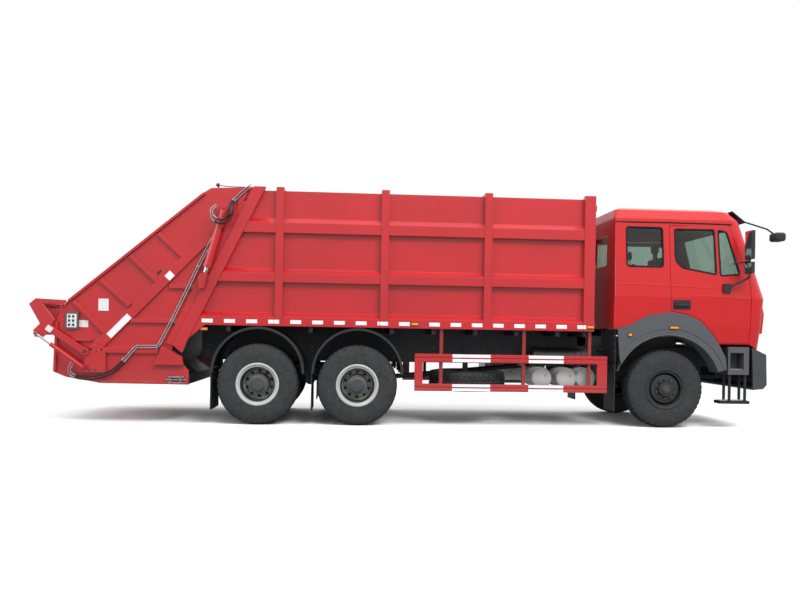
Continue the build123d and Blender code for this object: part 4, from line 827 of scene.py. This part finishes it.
def footLatch():
    # the screw clamp at the tailgate's foot: two short links, and a long screw with a collar between them
    bm = bmesh.new()
    for sign in (-1, 1):
        y = sign * 1.192
        for low, high, z, r in ((-3.500, -3.292, 0.652, 0.015), (-3.545, -3.252, 0.615, 0.011),
                                (-3.505, -3.299, 0.574, 0.015)):
            latheForm(bm, [(0, 0), (0, r), (high - low, r), (high - low, 0)], (low, y, z), (1, 0, 0), 16)
        for x in (-3.470, -3.330):
            boxForm(bm, (x - 0.012, min(y, y + sign * 0.018) - 0.010, 0.560),
                    (x + 0.012, max(y, y + sign * 0.018), 0.668), 0.004)
            boxForm(bm, (x - 0.020, min(sign * 1.1652, y), 0.570), (x + 0.020, max(sign * 1.1652, y), 0.658),
                    0.004)
    finishPiece("footLatches", bm, zincSteel, "tailgate", 30)


def roofLamp():
    # a small red lamp on a thin rail that runs back along the tailgate's roof edge
    for sign, side in ((-1, "Right"), (1, "Left")):
        y = sign * 1.120
        bentPipe("lampRail" + side, [(-2.420, y, 3.347), (-2.620, y, 3.344), (-2.800, y, 3.350),
                                     (-2.868, y, 3.366)], 0.006,
                 rolledSteel, "tailgate")
        lens, base = bmesh.new(), bmesh.new()
        latheForm(lens, [(0, 0), (0, 0.026), (0.014, 0.024), (0.026, 0.012), (0.028, 0)], (-2.880, y, 3.366),
                  (-1, 0, 0.25), 24)
        latheForm(base, [(0, 0), (0, 0.028), (0.018, 0.028), (0.018, 0)], (-2.880, y, 3.366), (1, 0, -0.25),
                  24)
        boxForm(base, (-2.874, y - 0.008, 3.316), (-2.858, y + 0.008, 3.362), 0.002)
        finishPiece("roofLampLens" + side, lens, redLens, "tailgate", 40)
        finishPiece("roofLampFoot" + side, base, blackPlastic, "tailgate", 30)


gateLabels()
controlBox()
hingeBolts()
tailHoses()
footLatch()
roofLamp()
print("tailgate dressed")


def softOutline(corners, radius, perCorner=5, perSide=4):
    # an outline with its corners rounded, as points close enough to follow a bent skin
    result = []
    count = len(corners)
    for i, corner in enumerate(corners):
        here = Vector(corner)
        before, after = Vector(corners[i - 1]), Vector(corners[(i + 1) % count])
        a = here + (before - here).normalized() * radius
        b = here + (after - here).normalized() * radius
        for k in range(perCorner + 1):
            t = k / perCorner
            result.append(a * (1 - t) ** 2 + here * 2 * t * (1 - t) + b * t ** 2)
        c = after + (here - after).normalized() * radius
        for k in range(1, perSide):
            result.append(b.lerp(c, k / perSide))
    return result


cabWindows = {
    "doorWindow": ([(3.738, 2.915), (4.335, 2.918), (4.350, 2.257), (3.850, 2.345), (3.765, 2.422),
                    (3.738, 2.500)], 0.03),
    "ventWindow": ([(4.392, 2.915), (4.526, 2.888), (4.704, 2.266), (4.412, 2.240)], 0.03),
    "sideWindow": ([(3.015, 2.353), (3.557, 2.353), (3.557, 2.932), (3.015, 2.932)], 0.05),
}


def windowSeals():
    # extruded rubber seal around each side pane
    for name, (corners, radius) in cabWindows.items():
        for side, sign in (("left", 1), ("right", -1)):
            door = name != "sideWindow"
            node = "door_" + side if door else "cab_shell"
            centre = sum((Vector(c) for c in corners), Vector((0, 0))) / len(corners)
            places = []
            for spot in softOutline(corners, radius):
                out = spot + (spot - centre).normalized() * 0.014
                y = skinAt([node], out.x, out.y, sign)
                places.append((spot.x, y - sign * 0.002, spot.y))
            bentPipe(name + "Seal" + side.title(), places, 0.013, sealRubber,
                     "door_" + side if door else "cab", closed=True)


def windscreenSeal():
    corners = [(-1.010, 2.085), (1.010, 2.085), (0.925, 2.985), (-0.925, 2.985)]
    places = []
    for spot in softOutline(corners, 0.06, 6, 14):
        out = Vector((spot.x * 1.018, spot.y + (0.016 if spot.y > 2.5 else -0.016)))
        hit, place, _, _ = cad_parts["cab_shell"].ray_cast(Vector((6.0, out.x, out.y)),
                                                                Vector((-1, 0, 0)))
        places.append((place.x - 0.002 if hit else 4.9, spot.x, spot.y))
    bentPipe("windscreenSeal", places, 0.016, sealRubber, "cab", closed=True)


def cabGutter():
    # the drip rail above the doors, in black rubber so that it also draws a painted shadow line under the
    # roof's edge
    for side, sign in (("Left", 1), ("Right", -1)):
        points = []
        for k in range(12):
            x = 2.86 + k * (4.60 - 2.86) / 11
            z = 3.004 + 0.006 * math.sin(math.pi * k / 11)
            points.append((x, skinAt(["cab_shell", "door_" + side.lower()], x, z, sign) + sign * 0.006, z))
        bentPipe("cabGutter" + side, points, 0.009, sealRubber, "cab")


doorHandle = {"recess": (3.690, 3.955, 1.735, 1.872), "grip": (3.706, 3.940, 1.783, 1.823)}


def doorHandles():
    # a black dished plate behind a pull grip, with the lock barrel under it
    x0, x1, z0, z1 = doorHandle["recess"]
    for side, sign in (("left", 1), ("right", -1)):
        plate, grip = bmesh.new(), bmesh.new()
        y = sign * 1.2262
        boxForm(plate, (x0, min(y, y + sign * 0.005), z0), (x1, max(y, y + sign * 0.005), z1), 0.002)
        gx0, gx1, gz0, gz1 = doorHandle["grip"]
        rows = 14
        for k in range(rows):
            t0, t1 = k / rows, (k + 1) / rows
            a, b = gx0 + (gx1 - gx0) * t0, gx0 + (gx1 - gx0) * t1
            bulge = [0.028 + 0.018 * math.sin(math.pi * t) for t in (t0, t1)]
            high = sign * (1.225 + max(bulge))
            boxForm(grip, (a, min(sign * 1.229, high), gz0), (b, max(sign * 1.229, high), gz1), 0.0)
        latheForm(grip, [(0, 0), (0, 0.014), (0.006, 0.014), (0.008, 0.010), (0.008, 0)],
                  (x0 + 0.05, sign * 1.231, z0 + 0.022), (0, sign, 0), 20)
        bmesh.ops.remove_doubles(grip, verts=grip.verts, dist=0.0002)
        finishPiece("handlePlate" + side.title(), plate, blackPlastic, "door_" + side, 30)
        finishPiece("handleGrip" + side.title(), grip, blackPlastic, "door_" + side, 30)


def pressedLines():
    # the door's and cab side's pressed belt crease and lower swage, as slim raised beads under the paint
    for side, sign in (("left", 1), ("right", -1)):
        for name, body, nodes, x0, x1, za, zb in (
                ("doorBelt", "door_" + side, ["door_" + side], 3.68, 4.84, 2.078, 2.030),
                ("doorSwage", "door_" + side, ["door_" + side], 3.98, 4.84, 1.945, 1.905),
                ("cabBelt", "cab", ["cab_shell"], 2.87, 3.64, 2.094, 2.080)):
            points = []
            for k in range(8):
                t = k / 7
                x, z = x0 + (x1 - x0) * t, za + (zb - za) * t
                points.append((x, skinAt(nodes, x, z, sign) - sign * 0.004, z))
            bentPipe(name + side.title(), points, 0.009, cabEnamel, body)


def mirrorFaces():
    # silvered glass on the backs of the mirror heads, which face the driver
    for side, sign in (("left", 1), ("right", -1)):
        bm = bmesh.new()
        x = 4.770 - 0.0665
        for z0, z1 in ((2.477, 2.865), (2.275, 2.416)):
            ys = sorted((sign * (1.345 - 0.012), sign * (1.345 + 0.165)))
            boxForm(bm, (x - 0.002, ys[0], z0), (x, ys[1], z1), 0.0008)
        finishPiece("mirrorFaces" + side.title(), bm, mirrorGlass, "door_" + side)


windowSeals()
windscreenSeal()
cabGutter()
doorHandles()
pressedLines()
mirrorFaces()
print("cab dressed")


chassisTrim = {"strapX": (1.42, 1.98), "strapWide": 0.045}


def airTankTrim():
    # steel bands round the three tanks, drain cocks, and the dished ends' weld beads
    bands, cocks = bmesh.new(), bmesh.new()
    for x in (1.813, 2.183, 2.467):
        for y in (-0.93, -0.55):
            latheForm(bands, [(-0.018, 0.1503), (-0.018, 0.153), (0.018, 0.153), (0.018, 0.1503)],
                      (x, y, 0.705), (0, 1, 0), 40, True)
        latheForm(bands, [(0, 0.04), (0, 0.148), (-0.014, 0.140), (-0.024, 0.110), (-0.029, 0.05),
                          (-0.030, 0.0)],
                  (x, -1.050, 0.705), (0, 1, 0), 40)
        hexBolt(cocks, (x, -0.74, 0.5545), (0, 0, -1), 0.022, 0.014)
        hexBolt(cocks, (x + 0.05, -1.075, 0.74), (0, -1, 0), 0.020, 0.014)
    finishPiece("airTankBands", bands, tankEnamel, "root", 35)
    finishPiece("airTankCocks", cocks, zincSteel, "root", 30)


def fuelTankTrim():
    # pressed straps round the tank with their tension bolts, the filler neck and its cap
    straps, cap = bmesh.new(), bmesh.new()
    for x in chassisTrim["strapX"]:
        half = chassisTrim["strapWide"] / 2
        y0, y1, z0, z1, t = 0.458, 1.082, 0.518, 1.062, 0.003
        for low, high in (((x - half, y0 - t, z0 - t), (x + half, y1 + t, z0)),
                          ((x - half, y0 - t, z1), (x + half, y1 + t, z1 + t)),
                          ((x - half, y1, z0), (x + half, y1 + t, z1))):
            boxForm(straps, low, high, 0.001)
        hexBolt(straps, (x, y1 + t, 0.60), (0, 1, 0), 0.018, 0.012)
    latheForm(cap, [(0, 0), (0, 0.045), (0.03, 0.045), (0.03, 0.056), (0.062, 0.054), (0.066, 0.048),
                    (0.066, 0)],
              (2.10, 0.93, 1.060), (0, 0, 1), 32)
    finishPiece("fuelTankStraps", straps, rolledSteel, "root", 30)
    finishPiece("fuelTankCap", cap, blackPlastic, "root", 35)


def silencerRibs():
    # rolled ribs round the silencer's wrapper, and the outlet that points down
    bm = bmesh.new()
    for k in range(7):
        x = 1.83 + k * 0.108
        latheForm(bm, [(-0.012, 0.1302), (-0.006, 0.137), (0.006, 0.137), (0.012, 0.1302)],
                  (x, -0.690, 1.010), (1, 0, 0), 40)
    finishPiece("silencerRibs", bm, rolledSteel, "root", 40)
    bentPipe("exhaustOutlet", [(1.76, -0.69, 1.01), (1.66, -0.69, 1.01), (1.60, -0.69, 0.98),
                               (1.58, -0.69, 0.90), (1.58, -0.69, 0.86)],
             0.045, rolledSteel, "root")


def springClamps():
    # four U bolts over each leaf pack at the axles
    bm = bmesh.new()
    for sign in (-1, 1):
        for dx in (-0.05, 0.05):
            for dy in (-0.060, 0.060):
                spot = (frontAxleX + dx, sign * 0.390 + dy, 0.405)
                hexBolt(bm, spot, (0, 0, -1), 0.026, 0.020)
    finishPiece("springClampNuts", bm, rolledSteel, "root", 30)


def railBolts():
    # the bolts that hold crossmembers and brackets to the rails, one column at each place
    bm = bmesh.new()
    for sign in (-1, 1):
        for x in (-3.10, -2.72, -1.55, -0.30, 0.30, 1.08, 1.30, 2.62, 2.80):
            for z in (0.94, 1.02, 1.10):
                hexBolt(bm, (x, sign * 0.4302, z), (0, sign, 0), 0.020, 0.012)
    finishPiece("railBolts", bm, rolledSteel, "root", 30)


def brakeChambers():
    # spring brake chambers behind the two rear axles, each two pressed bowls in a clamp band
    bm = bmesh.new()
    for x in rearAxlesX:
        for sign in (-1, 1):
            profile = [(0, 0), (0, 0.045), (0.015, 0.075), (0.060, 0.082), (0.066, 0.090), (0.076, 0.090),
                       (0.082, 0.082), (0.110, 0.078), (0.170, 0.072), (0.185, 0.05), (0.190, 0)]
            latheForm(bm, profile, (x + 0.14, sign * 0.30, 0.66), (0.7, 0, 0.7), 36)
    finishPiece("brakeChambers", bm, chassisEnamel, "root", 35)


def stepTreads():
    # cast aluminium tread plates with raised teeth, in the step box and on the low step
    bm = bmesh.new()
    for sign in (-1, 1):
        for x0, x1, z, y0, y1, rows in ((4.570, 4.760, 0.8695, 1.045, 1.215, 5),
                                        (4.440, 4.860, 0.4125, 1.035, 1.185, 5)):
            ys = sorted((sign * y0, sign * y1))
            boxForm(bm, (x0, ys[0], z), (x1, ys[1], z + 0.004), 0.001)
            along = int((x1 - x0) / 0.032)
            for i in range(along):
                for j in range(rows):
                    x = x0 + (i + 0.5) * (x1 - x0) / along
                    y = sign * (y0 + (j + 0.5) * (y1 - y0) / rows)
                    latheForm(bm, [(0.004, 0.010), (0.009, 0.007), (0.009, 0.0045), (0.005, 0.004)],
                              (x, y, z), (0, 0, 1), 8)
    finishPiece("stepTreads", bm, spunAluminium, "root", 30)


def headLamps():
    # on each side two round reflectors behind a clear cover, a turn lamp at the outer end and a black tray
    tray, bowls, turn, cover = bmesh.new(), bmesh.new(), bmesh.new(), bmesh.new()
    for sign in (-1, 1):
        ys = sorted((sign * 0.645, sign * 1.075))
        boxForm(tray, (5.1125, ys[0], 0.786), (5.1145, ys[1], 0.979), 0.0005)
        for y in (0.74, 0.90):
            latheForm(bowls, [(0.0, 0.0), (0.001, 0.03), (0.004, 0.05), (0.012, 0.070), (0.014, 0.072),
                              (0.012, 0.076), (0.0, 0.078)],
                      (5.1147, sign * y, 0.882), (1, 0, 0), 36)
            latheForm(bowls, [(0.001, 0.018), (0.009, 0.016), (0.012, 0.010), (0.012, 0)],
                      (5.1150, sign * y, 0.882), (1, 0, 0), 20)
        ys = sorted((sign * 0.995, sign * 1.065))
        boxForm(turn, (5.1147, ys[0], 0.80), (5.126, ys[1], 0.965), 0.006)
        ys = sorted((sign * 0.648, sign * 0.985))
        boxForm(cover, (5.1300, ys[0], 0.788), (5.1340, ys[1], 0.977), 0.0015)
    finishPiece("lampTrays", tray, blackPlastic, "root")
    finishPiece("lampBowls", bowls, cleanChrome, "root", 40)
    finishPiece("turnLamps", turn, amberLens, "root", 40)
    finishPiece("lampCovers", cover, lampGlass, "root", 40)


def wipers():
    # two wiper arms parked along the foot of the windscreen
    for k, (pivot, tip) in enumerate((((5.085, 0.55, 1.985), (5.045, -0.25, 2.135)),
                                      ((5.085, -0.30, 1.985), (5.045, -0.77, 2.145)))):
        a, b = Vector(pivot), Vector(tip)
        bentPipe("wiperArm%d" % (k + 1), [a, a.lerp(b, 0.33) + Vector((0.012, 0, 0.01)),
                                          a.lerp(b, 0.66) + Vector((0.012, 0, 0.01)), b],
                 0.008, blackPlastic, "cab")
        bentPipe("wiperBlade%d" % (k + 1), [b + Vector((0.002, 0.30, -0.035)), b + Vector((0.006, 0, 0)),
                                            b + Vector((0.002, -0.22, 0.02))],
                 0.009, sealRubber, "cab")


airTankTrim()
fuelTankTrim()
silencerRibs()
springClamps()
railBolts()
brakeChambers()
stepTreads()
headLamps()
wipers()
print("chassis and lamps dressed")


seatSpec = {"centres": (0.560, -0.560), "half": 0.260, "pressure": 4.0, "steps": 20, "voxel": 0.014,
            "bunkVoxel": 0.030, "cap": 0.014, "shrink": 0.012, "leanDeg": 7.0, "seamDepth": 0.007,
            "seamWidth": 0.010}


def settleStuffing(piece, cap):
    # pressure in a closed cloth form rounds the pad; no point may move further than the cap
    scene = bpy.context.scene
    before = [vert.co.copy() for vert in piece.data.vertices]
    cloth = piece.modifiers.new("stuffing", "CLOTH")
    cloth.settings.use_pressure = True
    cloth.settings.uniform_pressure_force = seatSpec["pressure"]
    cloth.settings.effector_weights.gravity = 0
    for step in range(1, seatSpec["steps"] + 1):
        scene.frame_set(step)
    settled = piece.evaluated_get(bpy.context.evaluated_depsgraph_get()).data
    moved = [vert.co.copy() for vert in settled.vertices]
    piece.modifiers.remove(cloth)
    scene.frame_set(1)
    for vert, old, new in zip(piece.data.vertices, before, moved):
        shift = new - old
        if shift.length > cap:
            shift = shift.normalized() * cap
        vert.co = old + shift


def padForm(name, boxes, voxel, seams):
    # boxes are (low, high, lean in degrees); seams are (axis, value) planes that are sewn down
    bm = bmesh.new()
    for low, high, lean in boxes:
        turn = (Matrix.Rotation(-math.radians(lean), 3, "Y"),
                ((low[0] + high[0]) / 2, 0, low[2])) if lean else None
        boxForm(bm, low, high, 0.022, turn)
    mesh = bpy.data.meshes.new(name)
    bm.to_mesh(mesh)
    bm.free()
    piece = bpy.data.objects.new(name, mesh)
    bpy.context.collection.objects.link(piece)
    remesh = piece.modifiers.new("even", "REMESH")
    remesh.mode = "VOXEL"
    remesh.voxel_size = voxel
    even = bpy.data.meshes.new_from_object(piece.evaluated_get(bpy.context.evaluated_depsgraph_get()))
    piece.modifiers.remove(remesh)
    piece.data = even
    even.name = name
    settleStuffing(piece, seatSpec["cap"])
    normals = [vert.normal.copy() for vert in even.vertices]
    for vert, normal in zip(even.vertices, normals):
        for axis, value in seams:
            gap = abs(vert.co[axis] - value)
            vert.co -= normal * seatSpec["seamDepth"] * math.exp(-(gap / seatSpec["seamWidth"]) ** 2)
    even.materials.clear()
    even.materials.append(wovenPolyester)
    even.shade_smooth()
    smooth = piece.modifiers.new("smooth", "SUBSURF")
    smooth.levels = smooth.render_levels = 1
    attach(piece, "cab")
    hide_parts("seats")


def cabSeats():
    s = seatSpec
    k = s["shrink"]
    for side, y in zip(("Left", "Right"), s["centres"]):
        y0, y1 = y - s["half"] + k, y + s["half"] - k
        padForm("seatCushion" + side, [((3.700 + k, y0, 1.762 + k), (4.260 - k, y1, 1.880 - k), 0)],
                s["voxel"], [(1, y - 0.17), (1, y + 0.17), (0, 4.12)])
        padForm("seatBack" + side, [((3.705 + k, y0, 1.885 + k), (3.815 - k, y1, 2.555 - k), s["leanDeg"])],
                s["voxel"], [(1, y - 0.17), (1, y + 0.17), (2, 2.12), (2, 2.36)])
        padForm("headRest" + side,
                [((3.636 + k, y - 0.13 + k, 2.585 + k), (3.722 - k, y + 0.13 - k, 2.758 - k), 3)],
                s["voxel"], [])
        frameForm = bmesh.new()
        boxForm(frameForm, (3.760, y - 0.20, 1.4855), (4.230, y + 0.20, 1.515), 0.006)
        for x in (3.80, 4.19):
            for dy in (-0.17, 0.17):
                boxForm(frameForm, (x - 0.018, y + dy - 0.018, 1.515), (x + 0.018, y + dy + 0.018, 1.740),
                        0.004)
        for z in (1.55, 1.585, 1.62, 1.655, 1.69):
            boxForm(frameForm, (3.84, y - 0.14, z), (4.15, y + 0.14, z + 0.020), 0.008)
        boxForm(frameForm, (3.745, y - 0.22, 1.738), (4.245, y + 0.22, 1.766), 0.008)
        for dy in (-0.06, 0.06):
            latheForm(frameForm, [(0, 0.007), (0.09, 0.007)], (3.682, y + dy, 2.520), (-0.03, 0, 1), 12)
        base = finishPiece("seatBase" + side, frameForm, blackPlastic, "cab", 30)
        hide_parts("seats")
    padForm("bunkMattress", [((2.885, -1.07, 1.700), (3.475, 1.07, 1.845), 0)], s["bunkVoxel"],
            [(1, -0.36), (1, 0.36)])
    box = bmesh.new()
    boxForm(box, (2.882, -1.078, 1.4856), (3.478, 1.078, 1.690), 0.010)
    for y in (-0.54, 0.0, 0.54):
        boxForm(box, (3.478, y - 0.20, 1.53), (3.480, y + 0.20, 1.65), 0.0008)
    bunk = finishPiece("bunkBox", box, dashPlastic, "cab", 30)
    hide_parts("seats")


cabSeats()
print("seats settled")

studio = {"floorHalf": 60, "floorTone": "f8f8f8", "bounceTone": "8a8a8a", "nearReach": 6.2, "farReach": 9.5,
          "keyWatts": 2350, "fillWatts": 420, "horizon": 0.42, "zenith": 1.9}


def seenRays(tree):
    # 1 for the rays that show the ground or the sky to the eye: straight, off a mirror or through glass
    rays = tree.nodes.new("ShaderNodeLightPath")
    straight = addNode(tree, "ShaderNodeMath", {"operation": "MAXIMUM"},
                       {0: rays.outputs["Is Camera Ray"], 1: rays.outputs["Is Transmission Ray"]})
    return addNode(tree, "ShaderNodeMath", {"operation": "MAXIMUM"},
                   {0: straight.outputs[0], 1: rays.outputs["Is Singular Ray"]}).outputs[0]


def paleGround():
    # pale matte ground that keeps the shadow by the truck, and that camera, mirror and glass rays see as the
    # white of the background further out
    mesh = bpy.data.meshes.new("studioFloor")
    half = studio["floorHalf"]
    mesh.from_pydata([(-half, -half, 0), (half, -half, 0), (half, half, 0), (-half, half, 0)], [],
                     [(0, 1, 2, 3)])
    floor = bpy.data.objects.new("studioFloor", mesh)
    bpy.context.collection.objects.link(floor)
    material = bpy.data.materials.new("paleGround")
    material.use_nodes = True
    tree = material.node_tree
    tree.nodes.clear()
    output = tree.nodes.new("ShaderNodeOutputMaterial")
    # the eye sees it pale, but it throws back only as much light as asphalt does
    tone = addNode(tree, "ShaderNodeMix", {"data_type": "RGBA", 6: srgb(studio["bounceTone"]),
                                           7: srgb(studio["floorTone"])},
                   {0: seenRays(tree)})
    matte = addNode(tree, "ShaderNodeBsdfDiffuse", {}, {"Color": tone.outputs[2]})
    white = addNode(tree, "ShaderNodeEmission", {"Color": (1, 1, 1, 1), "Strength": 1.0})
    place = tree.nodes.new("ShaderNodeNewGeometry").outputs["Position"]
    reach = addNode(tree, "ShaderNodeVectorMath", {"operation": "LENGTH"}, {0: place})
    far = addNode(tree, "ShaderNodeMapRange", {"interpolation_type": "SMOOTHSTEP",
                                               "From Min": studio["nearReach"],
                  "From Max": studio["farReach"]}, {"Value": reach.outputs["Value"]})
    seen = addNode(tree, "ShaderNodeMath", {"operation": "MULTIPLY"},
                   {0: far.outputs["Result"], 1: seenRays(tree)})
    shown = addNode(tree, "ShaderNodeMixShader", {},
                    {0: seen.outputs[0], 1: matte.outputs[0], 2: white.outputs[0]})
    tree.links.new(shown.outputs[0], output.inputs["Surface"])
    mesh.materials.append(material)


def skyShade(tree):
    # an overcast sky: brightest overhead, dim towards the horizon
    aim = addNode(tree, "ShaderNodeSeparateXYZ", {},
                  {0: tree.nodes.new("ShaderNodeTexCoord").outputs["Generated"]})
    return addNode(tree, "ShaderNodeMapRange",
                   {"From Min": -0.05, "To Min": studio["horizon"], "To Max": studio["zenith"]},
                   {"Value": aim.outputs["Z"]}).outputs["Result"]


def softWorld():
    world = bpy.data.worlds.new("softStudio")
    bpy.context.scene.world = world
    world.use_nodes = True
    tree = world.node_tree
    tree.nodes.clear()
    output = tree.nodes.new("ShaderNodeOutputWorld")
    dim = addNode(tree, "ShaderNodeBackground", {"Color": (1, 1, 1, 1)},
                  {"Strength": skyShade(tree)})
    bright = addNode(tree, "ShaderNodeBackground", {"Color": (1, 1, 1, 1), "Strength": 1.0})
    both = addNode(tree, "ShaderNodeMixShader", {},
                   {0: seenRays(tree), 1: dim.outputs[0], 2: bright.outputs[0]})
    tree.links.new(both.outputs[0], output.inputs["Surface"])


def softBox(name, place, aim, size, watts, mirrored=True):
    light = bpy.data.lights.new(name, "AREA")
    light.shape = "RECTANGLE"
    light.size, light.size_y = size
    light.energy = watts
    lamp = bpy.data.objects.new(name, light)
    lamp.location = place
    lamp.rotation_euler = (Vector(aim) - Vector(place)).to_track_quat("-Z", "Y").to_euler()
    lamp.visible_glossy = mirrored
    bpy.context.collection.objects.link(lamp)


def truckCamera():
    # found by fitting the wheels, posts and roof line of the photograph
    shot = {"place": (-1.00, -12.09, 1.36), "turnDeg": 3.80, "rollDeg": 0.99, "lens": 34.54, "shiftY": 0.038}
    data = bpy.data.cameras.new("truckCamera")
    data.lens = shot["lens"]
    data.sensor_width = 36
    data.shift_y = shot["shiftY"]
    camera = bpy.data.objects.new("truckCamera", data)
    turn = math.radians(shot["turnDeg"])
    forward = Vector((math.sin(turn), math.cos(turn), 0))
    level = forward.cross(Vector((0, 0, 1)))
    right = Matrix.Rotation(-math.radians(shot["rollDeg"]), 3, forward) @ level
    up = right.cross(forward)
    camera.matrix_world = Matrix((
        (right.x, up.x, -forward.x, shot["place"][0]),
        (right.y, up.y, -forward.y, shot["place"][1]),
        (right.z, up.z, -forward.z, shot["place"][2]),
        (0, 0, 0, 1)))
    bpy.context.collection.objects.link(camera)
    bpy.context.scene.camera = camera


paleGround()
softWorld()
softBox("keySoftBox", (6, -11, 13), (1, 0, 1.4), (10, 5), studio["keyWatts"], False)
softBox("fillSoftBox", (-14, -10, 6), (-1, 0, 1.4), (8, 6), studio["fillWatts"])
truckCamera()
bpy.context.scene.view_settings.view_transform = "Standard"
print("stage, light and camera set")
